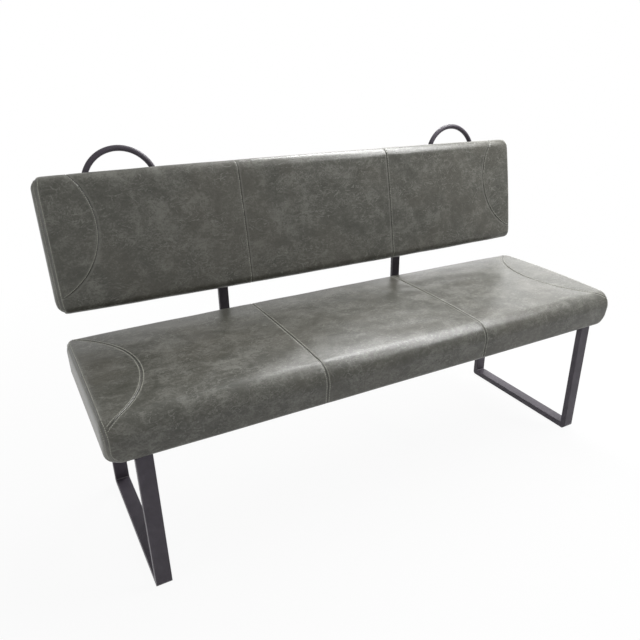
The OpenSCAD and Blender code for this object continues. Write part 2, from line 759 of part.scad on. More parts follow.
module handle_tnuts() {
    color(zinc_colour) at_back() at_places(handle_bolt_places) tnut(small_bolt_d, back_board_t);
}

// Legs
module left_leg_front() { leg_front(-1); }
module left_leg_rail() { leg_bottom(-1); }
module left_leg_rear() { leg_rear(-1); }
module left_leg_plate() { leg_plate(-1); }
module right_leg_front() { leg_front(1); }
module right_leg_rail() { leg_bottom(1); }
module right_leg_rear() { leg_rear(1); }
module right_leg_plate() { leg_plate(1); }
module floor_glides() {
    color(frame_colour)
        for (side = [-1, 1], v = [glide_place, leg_d - glide_place])
            translate([side * leg_x, front_y + leg_front_in + v, 0]) {
                cylinder(d = glide_d, h = glide_t);
                cylinder(d = glide_stem_d - fit_gap, h = glide_t + glide_stem_l);
            }
}

// Fasteners under the seat and behind the backrest
module leg_bolts() {
    color(zinc_colour) at_seat() at_places(leg_bolt_places)
        translate([0, 0, -dust_t - plate_t - washer_t])
            bolt(bolt_d, washer_t + plate_t + dust_t + cover_t + seat_board_t);
}
module leg_washers() {
    color(zinc_colour) at_seat() at_places(leg_bolt_places)
        translate([0, 0, -dust_t - plate_t - washer_t]) washer(bolt_d);
}
module upright_seat_bolts() {
    color(zinc_colour) at_seat() at_places(run_bolt_places)
        translate([0, 0, -dust_t - upright_t - washer_t])
            bolt(bolt_d, washer_t + upright_t + dust_t + cover_t + seat_board_t);
}
module upright_back_bolts() {
    color(zinc_colour) at_back() at_places(lean_bolt_places)
        translate([0, 0, -rear_panel_t - upright_t - washer_t])
            bolt(bolt_d, washer_t + upright_t + rear_panel_t + cover_t + back_board_t);
}
module upright_washers() {
    color(zinc_colour) {
        at_seat() at_places(run_bolt_places)
            translate([0, 0, -dust_t - upright_t - washer_t]) washer(bolt_d);
        at_back() at_places(lean_bolt_places)
            translate([0, 0, -rear_panel_t - upright_t - washer_t]) washer(bolt_d);
    }
}
module left_upright() { upright(-1); }
module right_upright() { upright(1); }
module left_handle() { handle(-1); }
module right_handle() { handle(1); }
module left_handle_bar() { handle_bar(-1); }
module right_handle_bar() { handle_bar(1); }
module handle_bolts() {
    color(zinc_colour) at_back() at_places(handle_bolt_places)
        translate([0, 0, -rear_panel_t - handle_bar_t])
            bolt(small_bolt_d, handle_bar_t + rear_panel_t + cover_t + back_board_t);
}

seat_board();
seat_foam();
seat_centre_panel();
seat_left_panel();
seat_right_panel();
seat_left_end_panel();
seat_right_end_panel();
seat_left_side();
seat_right_side();
seat_dust_cover();
seat_tnuts();
back_board();
back_foam();
back_centre_panel();
back_left_panel();
back_right_panel();
back_left_end_panel();
back_right_end_panel();
back_left_side();
back_right_side();
back_rear_panel();
back_tnuts();
handle_tnuts();
left_leg_front();
left_leg_rail();
left_leg_rear();
left_leg_plate();
right_leg_front();
right_leg_rail();
right_leg_rear();
right_leg_plate();
leg_bolts();
leg_washers();
floor_glides();
left_upright();
right_upright();
upright_seat_bolts();
upright_back_bolts();
upright_washers();
left_handle();
right_handle();
left_handle_bar();
right_handle_bar();
handle_bolts();
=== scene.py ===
"""Upholstered bench with a backrest on flat uprights, two sled legs and two loop handles.

All lengths are in metres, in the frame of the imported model: x runs along the bench, y from
its front to its back and z up. The bench stands on z = 0.
"""

import functools
import math

import bmesh
import bpy
import numpy as np
from bpy.props import FloatProperty, FloatVectorProperty, PointerProperty
from bpy.types import Operator, Panel, PropertyGroup
from mathutils import Matrix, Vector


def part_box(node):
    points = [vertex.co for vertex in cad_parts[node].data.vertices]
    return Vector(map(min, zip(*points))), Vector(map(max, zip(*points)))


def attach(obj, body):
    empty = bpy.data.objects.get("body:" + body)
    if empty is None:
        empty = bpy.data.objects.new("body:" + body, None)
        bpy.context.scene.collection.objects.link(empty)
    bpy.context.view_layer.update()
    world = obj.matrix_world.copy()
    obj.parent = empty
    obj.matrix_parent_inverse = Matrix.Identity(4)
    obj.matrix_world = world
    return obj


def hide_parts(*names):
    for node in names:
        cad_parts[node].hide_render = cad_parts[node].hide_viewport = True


bl_info = {
    "name": "Upholstered bench",
    "version": (1, 0, 0),
    "blender": (4, 5, 0),
    "location": "3D View > Sidebar > Bench",
    "description": "Builds the covers, seams, stitching and finishes of an upholstered bench",
    "category": "Object",
}

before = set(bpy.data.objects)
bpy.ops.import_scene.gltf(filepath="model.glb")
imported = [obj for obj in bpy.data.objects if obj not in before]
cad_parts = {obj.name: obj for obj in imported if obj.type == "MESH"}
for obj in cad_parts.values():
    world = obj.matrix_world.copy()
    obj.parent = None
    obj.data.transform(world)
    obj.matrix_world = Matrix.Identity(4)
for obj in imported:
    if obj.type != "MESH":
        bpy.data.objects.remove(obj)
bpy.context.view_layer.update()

# How far the boards stand back from the cushions' edges, and their thicknesses.
BOARD_INSET, BOARD_T = 0.024, {"seat": 0.018, "back": 0.015}

# Where the seat cushion starts: its front face and the underside of its hem.
FRONT_Y, UNDER_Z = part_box("seat_board")[0].y - BOARD_INSET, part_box("seat_dust_cover")[1].z

# Distance between the rows of a cover's points, and a seam distance without any marks.
ROW_PITCH, FAR_FROM_SEAMS = 0.0026, 1.0

# Radius and sides of the floor, and the colour of the floor's glow and the sky.
FLOOR_R, FLOOR_SIDES, WHITE = 20.0, 96, (1.0, 1.0, 1.0, 1.0)


def length(name, text, default):
    """A length in metres as a property, with its name, description and default."""
    return FloatProperty(
        name=name, description=text, default=default, min=0.0, max=3.0, precision=4,
        unit="LENGTH")


def colour(name, text, default):
    """A linear colour as a property, with its name, description and default."""
    return FloatVectorProperty(
        name=name, description=text, default=default, min=0.0, max=1.0, size=3,
        subtype="COLOR")


def level(name, text, default, low=0.0, high=2000.0, unit="NONE"):
    """A plain number as a property, with its name, description, default, range and unit."""
    return FloatProperty(
        name=name, description=text, default=default, min=low, max=high, unit=unit)


class SeatSizes(PropertyGroup):
    """Sizes of the seat cushion."""

    span: length("Length", "Length over the padded side panels", 1.610)
    depth: length("Depth", "Depth from the front face to the rear face", 0.514)
    low_t: length("Front thickness", "Thickness behind the front rounding", 0.111)
    high_t: length("Rear thickness", "Thickness before the rear rounding", 0.111)
    low_round: length("Front rounding", "Radius of the front top edge", 0.048)
    high_round: length("Rear rounding", "Radius of the rear top edge", 0.022)
    crown: length("Crown", "Rise of the face's middle", 0.004)
    cross_x: length("Cross seam", "Distance of the cross seams from the middle", 0.262)
    arc_x: length("Curved seam", "Innermost distance of the curved seams", 0.665)
    arc_up: length("Curve centre", "Distance of the curve's centre from the front", 0.257)
    arc_r: length("Curve radius", "Radius of the curved seams", 0.300)
    low_in: length("Front draw-in", "Draw-in of the front corners", 0.004)
    high_in: length("Rear draw-in", "Draw-in of the rear corners", 0.012)
    under_in: length("Lower draw-in", "Draw-in of the ends towards the hem", 0.024)
    swell: length("Side swell", "Swell of the side panels beyond their seams", 0.005)


class BackSizes(PropertyGroup):
    """Sizes and place of the backrest cushion."""

    span: length("Length", "Length over the padded side panels", 1.610)
    depth: length("Height", "Height from the lower edge to the top edge", 0.365)
    low_t: length("Lower thickness", "Thickness above the lower rounding", 0.070)
    high_t: length("Upper thickness", "Thickness below the top rounding", 0.051)
    low_round: length("Lower rounding", "Radius of the lower front edge", 0.024)
    high_round: length("Top rounding", "Radius of the top front edge", 0.030)
    crown: length("Crown", "Rise of the face's middle", 0.003)
    cross_x: length("Cross seam", "Distance of the cross seams from the middle", 0.258)
    arc_x: length("Curved seam", "Innermost distance of the curved seams", 0.668)
    arc_up: length("Curve centre", "Height of the curve's centre", 0.233)
    arc_r: length("Curve radius", "Radius of the curved seams", 0.202)
    low_in: length("Lower draw-in", "Draw-in of the lower corners", 0.006)
    high_in: length("Upper draw-in", "Draw-in of the upper corners", 0.006)
    under_in: length("Rear draw-in", "Draw-in of the ends towards the rear", 0.004)
    swell: length("Side swell", "Swell of the side panels beyond their seams", 0.010)
    rear_y: length("Rear place", "Distance of its rear lower edge from the seat's front", 0.556642)
    rise: length("Lower edge", "Height of its lower edge over the floor", 0.569)
    lean: FloatProperty(
        name="Lean", description="Lean of the rear face", default=math.radians(7),
        min=0.0, max=0.4, subtype="ANGLE",
    )


class SewingSizes(PropertyGroup):
    """Sizes of the sewn covers, alike on both cushions."""

    low_r: length("Lower edge radius", "Radius of the edge that turns to the hem", 0.014)
    side_draw: length("Side draw", "Draw-in of the side faces below", 0.006)
    hem: length("Hem", "Width of the hem behind the edge", 0.062)
    corner_run: length("Corner run", "Length over which the corners draw in", 0.048)
    cover_t: length("Leather", "Thickness of the leather", 0.0012)
    wadding_t: length("Wadding", "Thickness of the wadding behind it", 0.008)
    gap: length("Seam gap", "Gap between two sewn panels", 0.0003)
    groove: length("Groove", "Depth of the groove at a seam", 0.0008)
    groove_w: length("Groove width", "Half width of that groove", 0.0009)
    dip: length("Dip", "Depth of the wider dip along a seam", 0.0006)
    dip_run: length("Dip run", "Width of that dip to each side", 0.007)
    puff: length("Puff", "Rise of a panel between its seams", 0.0015)
    end_drop: length("End drop", "Drop of the face where it rounds to the end seam", 0.004)
    end_run: length("End run", "Width of that rounding", 0.014)
    end_fall: length("End fall", "Fall of the face from a cross seam to the end", 0.0035)
    under_h: length("Under run", "Height over which the ends draw in to the hem", 0.036)
    row: length("Stitch row", "Distance of a twin stitch row from its seam", 0.0045)
    near_row: length("Near row", "Distance of a single stitch row from its seam", 0.0028)
    pitch: length("Stitch pitch", "Distance from stitch to stitch", 0.0052)
    thread_d: length("Thread", "Diameter of the topstitch thread", 0.0012)
    pucker: length("Pucker", "Height of the puckers beside a seam", 0.0003)
    wave: length("Wave", "Height of the slow waves of a face", 0.0004)


class FinishColours(PropertyGroup):
    """Colours of the finishes."""

    hide: colour("Leather", "Middle tone of the leather", (0.092, 0.091, 0.077))
    # hide_dark, darkened further, also paints shade in the seam grooves, and hide_light paints a
    # highlight on the ridges beside them.
    hide_dark: colour("Leather, dark", "Dark clouds of the leather", (0.058, 0.058, 0.047))
    hide_light: colour("Leather, light", "Rubbed clouds of the leather", (0.188, 0.187, 0.166))
    hide_warm: colour("Leather, warm", "Brownish clouds of the leather", (0.116, 0.106, 0.086))
    thread: colour("Thread", "Topstitch thread", (0.52, 0.52, 0.45))
    coat: colour("Powder coat", "Powder coat of the steel frame", (0.064, 0.056, 0.069))
    # The paler coat on the welds is a painted highlight where the beads catch light.
    weld: colour("Coat on the welds", "Thin, rubbed coat on the beads", (0.20, 0.19, 0.20))
    zinc: colour("Zinc", "Plated bolts, nuts and washers", (0.56, 0.58, 0.60))
    ply: colour("Plywood", "Boards inside the cushions", (0.56, 0.37, 0.17))
    foam: colour("Foam", "Foam blocks", (0.72, 0.66, 0.46))
    lining: colour("Lining", "Non-woven cloth under the seat", (0.020, 0.020, 0.022))
    glide: colour("Glides", "Plastic floor glides", (0.025, 0.025, 0.027))
    floor: colour("Floor", "Pale floor and backdrop", (0.72, 0.72, 0.72))


class StageSizes(PropertyGroup):
    """Place of the camera and strength of the lamps."""

    eye: FloatVectorProperty(
        name="Camera place", description="Place of the camera", size=3, subtype="TRANSLATION",
        default=(-0.9118, -1.5224, 1.2348))
    turn: FloatVectorProperty(
        name="Camera turn", description="Pitch, roll and yaw of the camera", size=3,
        subtype="EULER", default=[math.radians(a) for a in (-25.165, 0.562, -30.921)])
    shift: FloatVectorProperty(
        name="Shift", description="Shift of the photograph's frame", size=2,
        default=(-0.0535, 0.0303))
    lens: level("Lens", "Focal length in millimetres", 34.967, 10.0, 200.0)
    sky: level("Sky", "Strength of the even light", 0.12, 0.0, 3.0)
    overhead: level("Overhead lamp", "Power of the long lamp above", 124.0, unit="POWER")
    window: level("Rear lamp", "Power of the lamp behind on the right", 34.0, unit="POWER")
    fill: level("Front lamp", "Power of the soft lamp in front on the left", 17.0, unit="POWER")


class BenchSettings(PropertyGroup):
    """All settings of the bench."""

    seat: PointerProperty(type=SeatSizes, name="Seat", description="Seat cushion")
    back: PointerProperty(type=BackSizes, name="Backrest", description="Backrest cushion")
    sewing: PointerProperty(type=SewingSizes, name="Sewing", description="Sewn covers")
    finish: PointerProperty(type=FinishColours, name="Finish", description="Colours")
    stage: PointerProperty(type=StageSizes, name="Stage", description="Camera and lamps")


# Surfaces


def ripple(run, pitch, seed):
    """A wave of the given pitch along run whose phase and height wander:
    sin(2 pi run / pitch + wander) times a slower wave, between -1 and 1."""
    first, second, third = np.random.default_rng(seed).uniform(0, 2 * math.pi, 3)
    turn = 2 * math.pi * run / pitch
    wander, size = 1.6 * np.sin(turn / 4.1 + second), 0.55 + 0.45 * np.sin(turn / 2.7 + third)
    return np.sin(turn + wander + first) * size


def waves(x, s, size, seed, count=14):
    """Slow waves of a stretched cover: the sum of plane waves with seeded directions over
    the root of their count, about one size long, and longer along x than across it."""
    rng = np.random.default_rng(seed)
    turn = rng.uniform(0, 2 * math.pi, count)
    number = 2 * math.pi / size * rng.uniform(0.6, 1.7, count)
    phase = rng.uniform(0, 2 * math.pi, count)
    total = np.zeros(np.broadcast(x, s).shape)
    for k in range(count):
        way = 0.55 * np.cos(turn[k]) * x + np.sin(turn[k]) * s
        total += np.sin(number[k] * way + phase[k])
    return total / math.sqrt(count)


def graded(half, ease):
    """Shares from 0 to 1 that lie close together at both ends: on each half a share u
    becomes ease u + (1 - ease) u cubed."""
    u = np.linspace(0, 1, half + 1)
    rising = (ease * u + (1 - ease) * u**3) / 2
    return np.concatenate([rising, 1 - rising[-2::-1]])


def smooth_step(t):
    """3 t squared - 2 t cubed, with t held between 0 and 1."""
    t = np.clip(t, 0, 1)
    return t * t * (3 - 2 * t)


def unit(vectors):
    """The vectors brought to length 1."""
    return vectors / np.maximum(np.linalg.norm(vectors, axis=-1, keepdims=True), 1e-12)


# The relief of each stretched cover by its cushion's seed. The operator that stretches the
# covers fills it, and a cushion without one puffs by a formula.
RELIEFS = {}


def relief_at(relief, x, s):
    """Height of a relief at x and s: the four values around the place on its fine grid,
    each weighted by its nearness along both axes."""
    first_x, first_s, step, height = relief
    column = np.clip((x - first_x) / step, 0, height.shape[1] - 1.001)
    row = np.clip((s - first_s) / step, 0, height.shape[0] - 1.001)
    i, k = row.astype(int), column.astype(int)
    a, b = row - i, column - k
    low = height[i, k] * (1 - b) + height[i, k + 1] * b
    high = height[i + 1, k] * (1 - b) + height[i + 1, k + 1] * b
    return low * (1 - a) + high * a


def stretch_cover(cushion, pressure=4.0, slack=0.002, cap=0.002, frames=20):
    """Relief of a cover over its filling, by cloth simulation. A sheet with the cushion's
    cross-section is held at its seams and hems, is cut a little larger than its frame and
    is blown up from inside without gravity. The way its points moved along their normals
    counts only outwards, because the foam is behind them, is held under the cap by a
    hyperbolic tangent, and is eased onto a fine grid by bell-shaped weights."""
    pitch, fine_pitch, seam_reach, levels, least = 0.012, 0.002, 0.014, 8, 0.001
    uneven, uneven_size = 0.0004, 0.09
    x = np.linspace(-cushion.end_half, cushion.end_half, int(2 * cushion.end_half / pitch) + 1)
    s = np.linspace(0, cushion.s[-1], int(cushion.s[-1] / pitch) + 1)
    grid_x, grid_s = np.meshgrid(x, s)
    start = cushion.raised(grid_x, grid_s, 0)
    normal = cushion.raised(grid_x, grid_s, 1) - start
    begun = cushion.raised(
        grid_x, grid_s, uneven * waves(grid_x, grid_s, uneven_size, cushion.seed + 5))
    sheet = put_mesh("stretched cover", begun.reshape(-1, 3), grid_faces(len(s), len(x)))
    mesh, scene = sheet.data, bpy.context.scene
    facing = np.array(mesh.polygons[len(mesh.polygons) // 2].normal)
    if facing @ normal[len(s) // 2, 0] < 0:
        mesh.flip_normals()
    apart = cushion.apart(grid_x, grid_s)
    held = np.maximum(1 - smooth_step(apart / seam_reach), 1 - cushion.at("swell", grid_s))
    step = np.round(held.ravel() * levels).astype(int)
    pins = sheet.vertex_groups.new(name="held")
    for k in range(1, levels + 1):
        pins.add(np.flatnonzero(step == k).tolist(), k / levels, "REPLACE")
    cloth = sheet.modifiers.new("Cloth", "CLOTH")
    cloth.settings.vertex_group_mass = "held"
    cloth.settings.use_pressure = True
    cloth.settings.uniform_pressure_force = pressure
    cloth.settings.shrink_min = -slack
    cloth.settings.effector_weights.gravity = 0.0
    cloth.point_cache.frame_start, cloth.point_cache.frame_end = 1, frames
    for number in range(1, frames + 1):
        scene.frame_set(number)
    swollen = sheet.evaluated_get(bpy.context.evaluated_depsgraph_get()).to_mesh()
    moved = np.empty(begun.size)
    swollen.vertices.foreach_get("co", moved)
    height = ((moved.reshape(start.shape) - start) * normal).sum(-1)
    bpy.data.objects.remove(sheet)
    bpy.data.meshes.remove(mesh)
    scene.frame_set(1)
    height = (height + np.hypot(height, least)) / 2
    height = cap * np.tanh(height / (6 * cap))

    def eased_onto(places):
        fine = np.arange(places[0], places[-1] + fine_pitch, fine_pitch)
        weight = np.exp(-0.5 * ((fine[:, None] - places[None, :]) / (0.8 * pitch)) ** 2)
        return weight / weight.sum(1, keepdims=True)

    return x[0], s[0], fine_pitch, eased_onto(s) @ height @ eased_onto(x).T


class Cushion:
    """The outside of a cushion: a cross-section carried along x and pressed in at its seams.

    A place on the cover is x, along the bench, and s, the run along the cross-section from
    the hem at its lower edge over the face to the hem at its upper edge. The local axes are
    x, v across the cushion and w out of its face.
    """

    TABLE_PITCH, STEEPEST, TIP_W, OPEN_W, END_PRESS = 0.0005, 6, 0.0015, 0.010, 0.6

    def __init__(self, sizes, sewing, origin, lean, seed):
        self.z, self.c, self.origin, self.lean, self.seed = sizes, sewing, origin, lean, seed
        self.end_half = sizes.span / 2 - sizes.swell
        v, w, swell, plan = self.outline()
        s = np.concatenate([[0], np.cumsum(np.hypot(np.diff(v), np.diff(w)))])
        self.s = np.arange(0, s[-1], self.TABLE_PITCH)
        table = {"swell": swell, "plan": plan, "v": v, "w": w}
        self.table = {k: self.eased(np.interp(self.s, s, a)) for k, a in table.items()}
        table, steepest = self.table, self.STEEPEST
        dv, dw = np.gradient(table["v"]), np.gradient(table["w"])
        size = np.hypot(dv, dw)
        table["nv"], table["nw"] = -dw / size, dv / size
        table["end"] = self.end_seam(table["plan"], table["w"])
        table["curve"] = self.curved_seam(table["plan"])
        for name in ("end", "curve"):
            slope = np.clip(np.gradient(table[name], self.s), -steepest, steepest)
            table[name + "_slope"], table[name + "_cos"] = slope, 1 / np.sqrt(1 + slope**2)
        self.tip = self.opened_past(self.TIP_W)

    def outline(self):
        """The cross-section from hem to hem, as v, w, the share of the swell and the plan
        place of each point: a hem, a small quarter circle, the side, a large quarter
        circle, the crowned face, and the same again down to the other hem."""
        z, c = self.z, self.c
        share, run = np.linspace(0, 1, 80), np.linspace(0, 1, 300)
        quarter = share * math.pi / 2
        low = c.side_draw + c.low_r
        flat, one, nil = np.linspace(c.hem, low, 60), np.ones(80), np.zeros(80)

        def bend(v, w, r, start):
            return v + r * np.cos(start - quarter), w + r * np.sin(start - quarter)

        face_v = z.low_round + (z.depth - z.low_round - z.high_round) * run
        face_w = z.low_t + (z.high_t - z.low_t) * run + 4 * z.crown * run * (1 - run)
        front_low = bend(low, c.low_r, c.low_r, -math.pi / 2)
        front_top = bend(z.low_round, z.low_t - z.low_round, z.low_round, math.pi)
        rear_top = bend(z.depth - z.high_round, z.high_t - z.high_round, z.high_round, math.pi / 2)
        rear_low = bend(z.depth - low, c.low_r, c.low_r, 0.0)
        v, w, swell, plan = (np.concatenate(part) for part in zip(
            (flat, 0 * flat, 0 * flat, 0 * flat),
            (*front_low, share, nil),
            (*front_top, one, front_top[0]),
            (face_v, face_w, 0 * run + 1, face_v),
            (*rear_top, one, rear_top[0]),
            (*rear_low, share[::-1], nil + z.depth),
            (z.depth - flat[::-1], 0 * flat, 0 * flat, 0 * flat + z.depth),
        ))
        return v, w, swell, plan

    @staticmethod
    def eased(values, width=5):
        """A running mean weighted by a bell curve, which eases the joins of the arcs. The
        ends are carried on by their own reflection."""
        reach = 3 * width
        bell = np.exp(-0.5 * (np.arange(-reach, reach + 1) / width) ** 2)
        before = 2 * values[0] - values[reach:0:-1]
        after = 2 * values[-1] - values[-2:-reach - 2:-1]
        return np.convolve(np.concatenate([before, values, after]), bell / bell.sum(), "valid")

    def end_seam(self, plan, w):
        """x of the end seam: straight, and drawn in towards the corners and towards the
        hem by square laws."""
        z, c = self.z, self.c
        near = np.clip(1 - plan / c.corner_run, 0, None)
        far = np.clip(1 - (z.depth - plan) / c.corner_run, 0, None)
        under = np.clip(1 - w / c.under_h, 0, None)
        return self.end_half - z.low_in * near**2 - z.high_in * far**2 - z.under_in * under**2

    def opened_past(self, width):
        """The first and the last run at which the curved seam leaves the end seam by more
        than a width."""
        inside = self.s[self.table["end"] - self.table["curve"] > width]
        return inside[0], inside[-1]

    def core(self):
        """x of the flat inner side of the side panels, where the foam ends."""
        z = self.z
        return self.end_half - max(z.low_in, z.high_in) - z.under_in - self.c.cover_t

    def curved_seam(self, plan):
        """x of the curved seam: a circle about a centre beyond the cushion's end."""
        z = self.z
        dv = np.clip(plan - z.arc_up, -z.arc_r, z.arc_r)
        return z.arc_x + z.arc_r - np.sqrt(z.arc_r**2 - dv**2)

    def at(self, name, s):
        """The tabled value at the runs s."""
        return np.interp(s, self.s, self.table[name])

    def seams(self, x, s):
        """Distances in the cover from the cross seam, the curved seam and the end seam, and
        how far the curved seam is open there, from 0 at its tips to 1."""
        side = np.abs(x)
        cross = np.abs(side - self.z.cross_x)
        end = (self.at("end", s) - side) * self.at("end_cos", s)
        curve = np.abs(self.at("curve", s) - side) * self.at("curve_cos", s)
        opened = smooth_step((self.at("end", s) - self.at("curve", s)) / self.OPEN_W)
        return cross, curve, np.clip(end, 0, None), opened

    def apart(self, x, s):
        """Distance in the cover from the nearest seam."""
        cross, curve, end, opened = self.seams(x, s)
        return np.minimum(cross, np.minimum(curve + (1 - opened), end))

    def press(self, t, run, seed):
        """Height beside a seam at distance t: a narrow bell-shaped groove, a wider dip that
        fades exponentially, a dent under the stitch row, and puckers square to the seam."""
        c, dent, dent_w, pucker_run, pucker_pitch = self.c, 0.25, 0.0009, 0.005, 0.013
        height = -c.groove * np.exp(-((t / c.groove_w) ** 2)) - c.dip * np.exp(-t / c.dip_run)
        height = height - dent * c.groove * np.exp(-(((t - c.row) / dent_w) ** 2))
        swell = t / pucker_run * np.exp(1 - t / pucker_run)
        return height + c.pucker * swell * ripple(run, pucker_pitch, seed)

    def lift(self, x, s):
        """Height of the cover over the cross-section at x and s: panels puff between their
        seams, the seams press in, the ends round off and the face falls to them."""
        z, c, puff_run, wave_size, wave_reach = self.z, self.c, 0.022, 0.110, 0.03
        cross, curve, end, opened = self.seams(x, s)
        apart = self.apart(x, s)
        if self.seed in RELIEFS:
            height = relief_at(RELIEFS[self.seed], x, s)
        else:
            height = c.puff * (1 - np.exp(-apart / puff_run))
        height = height + self.press(cross, s, self.seed)
        height = height + opened * self.press(curve, s, self.seed + 1)
        drop = 1 - np.clip(end / c.end_run, 0, 1)
        height = height - c.end_drop * (1 - np.sqrt(1 - drop * drop))
        height = height + self.END_PRESS * self.press(end, s, self.seed + 2)
        slow = c.wave * waves(x, s, wave_size, self.seed + 3)
        height = height + slow * smooth_step(apart / wave_reach)
        far = np.clip((np.abs(x) - z.cross_x) / (self.end_half - z.cross_x), 0, 1)
        return self.at("swell", s) * (height - c.end_fall * far**2)

    def raised(self, x, s, height):
        """Points of the cross-section at x, moved along their normals by height."""
        x, s, height = np.broadcast_arrays(x, s, height)
        return np.stack([x, self.at("v", s) + height * self.at("nv", s),
                         self.at("w", s) + height * self.at("nw", s)], -1)

    def surface(self, x, s):
        """Points of the cover: the cross-section raised by lift."""
        return self.raised(x, s, self.lift(x, s))

    def lining(self, x, s, gap=0.0):
        """Points behind the leather, its wadding and a gap."""
        return self.raised(x, s, -(self.c.cover_t + self.c.wadding_t * self.at("swell", s) + gap))

    def side(self, s, inset):
        """Points of a side panel at a distance inset from the end seam."""
        s, inset = np.broadcast_arrays(s, inset)
        end = self.at("end", s)
        rim = self.surface(end, s)
        v = rim[..., 1] - inset * self.at("nv", s)
        w = rim[..., 2] - inset * self.at("nw", s)
        return np.stack([self.swollen(end, inset, s), v, w], -1)

    def swollen(self, end, inset, s):
        """x of a side panel at a distance inset from its seam: it starts at the seam and
        swells outwards by 1 - (1 - inset / reach) to the power 2.6."""
        reach, power = 0.028, 2.6
        share = 1 - (1 - np.clip(inset / reach, 0, 1)) ** power
        press = self.END_PRESS * self.press(inset, s, self.seed + 4) * self.at("swell", s)
        rise = self.z.swell * share + press * (1 - share / 2)
        return self.end_half + (end - self.end_half) * (1 - share) + rise + self.c.gap

    def world(self, points):
        """Local points x, v, w as points of the bench. With a lean v runs up the leaning rear
        face and w to the front, and else v runs to the rear and w up."""
        x, y, z = np.moveaxis(points, -1, 0)
        if self.lean:
            cos, sin = math.cos(self.lean), math.sin(self.lean)
            y, z = y * sin - z * cos, y * cos + z * sin
        return np.stack([x, self.origin[1] + y, self.origin[2] + z], -1)


def seat_cushion(bench):
    """The seat cushion: v runs to the rear and w up."""
    return Cushion(bench.seat, bench.sewing, (0, FRONT_Y, UNDER_Z), 0.0, 11)


def back_cushion(bench):
    """The backrest cushion: v runs up its leaning rear face and w to the front."""
    origin = (0, FRONT_Y + bench.back.rear_y, bench.back.rise)
    return Cushion(bench.back, bench.sewing, origin, bench.back.lean, 47)


# Meshes


def put_mesh(name, points, faces, seam=None, smooth_deg=50):
    """A mesh object from points and faces, with its normals recalculated to point outwards,
    smooth shading with sharp rims, and the seam attribute where it is given."""
    mesh = bpy.data.meshes.new(name)
    mesh.from_pydata(np.asarray(points, float).tolist(), [], faces)
    work = bmesh.new()
    work.from_mesh(mesh)
    bmesh.ops.recalc_face_normals(work, faces=work.faces)
    work.to_mesh(mesh)
    work.free()
    if seam is not None:
        attribute = mesh.attributes.new("seam", "FLOAT_VECTOR", "POINT")
        attribute.data.foreach_set("vector", np.asarray(seam, np.float32).ravel())
    mesh.shade_smooth()
    if smooth_deg < 180:
        mesh.set_sharp_from_angle(angle=math.radians(smooth_deg))
    piece = bpy.data.objects.new(name, mesh)
    bpy.context.scene.collection.objects.link(piece)
    return piece


def dress(piece, made):
    """Gives a piece its material and body."""
    piece.data.materials.clear()
    piece.data.materials.append(made)
    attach(piece, "root")
    return piece


def grid_faces(rows, columns, start=0):
    """Quads of a grid of points, row after row, from the index start."""
    i, k = np.meshgrid(np.arange(rows - 1), np.arange(columns - 1), indexing="ij")
    a = start + i * columns + k
    return np.stack([a, a + 1, a + columns + 1, a + columns], -1).reshape(-1, 4).tolist()


def loop_faces(first, second):
    """Quads between two closed rings of point numbers."""
    return np.stack([first, np.roll(first, -1), np.roll(second, -1), second], -1).tolist()


def tube_faces(rings, count, closed=True):
    """Quads between rings of count points that follow each other in number, and a face
    over each end of a closed one."""
    number = np.arange(count)
    faces = []
    for k in range(rings - 1):
        faces += loop_faces(k * count + number, (k + 1) * count + number)
    if closed:
        faces += [number.tolist(), ((rings - 1) * count + number).tolist()]
    return faces


def fan_faces(ring, point):
    """Triangles between a closed ring of point numbers and one point."""
    return [[int(a), int(b), point] for a, b in zip(ring, np.roll(ring, -1))]


def cover_panel(cushion, name, low_x, high_x, span, rows, half, ease):
    """A sewn panel as a closed shell: its outside is the cover between the seams low_x(s)
    and high_x(s) for s over span, in rows along s and graded columns along x, and its
    inside lies behind the wadding."""
    s = np.linspace(*span, rows)[:, None]
    gap = cushion.c.gap / 2
    low, high = low_x(s) + gap, high_x(s) - gap
    x = low + (high - low) * graded(half, ease)[None, :]
    columns = x.shape[1]
    outer = cushion.surface(x, s)
    inner = cushion.lining(x[:, [0, -1]], s)
    seam = np.stack(np.broadcast_arrays(s, cushion.apart(x, s), 0.0), -1)
    back = np.ones((rows * 2, 3)) * [0, FAR_FROM_SEAMS, 0]
    base, top = rows * columns, (rows - 1) * columns
    first = np.arange(rows - 1) * columns
    last, behind = first + columns - 1, base + 2 * np.arange(rows - 1)
    faces = grid_faces(rows, columns)
    for quad in ([first, first + columns, behind + 2, behind],
                 [last, behind + 1, behind + 3, last + columns],
                 [behind, behind + 2, behind + 3, behind + 1]):
        faces += np.stack(quad, -1).tolist()
    faces.append([*range(columns), base + 1, base])
    faces.append([*range(top, top + columns), base + 2 * rows - 1, base + 2 * rows - 2])
    points = cushion.world(np.concatenate([outer.reshape(-1, 3), inner.reshape(-1, 3)]))
    return put_mesh(name, points, faces, np.concatenate([seam.reshape(-1, 3), back]))


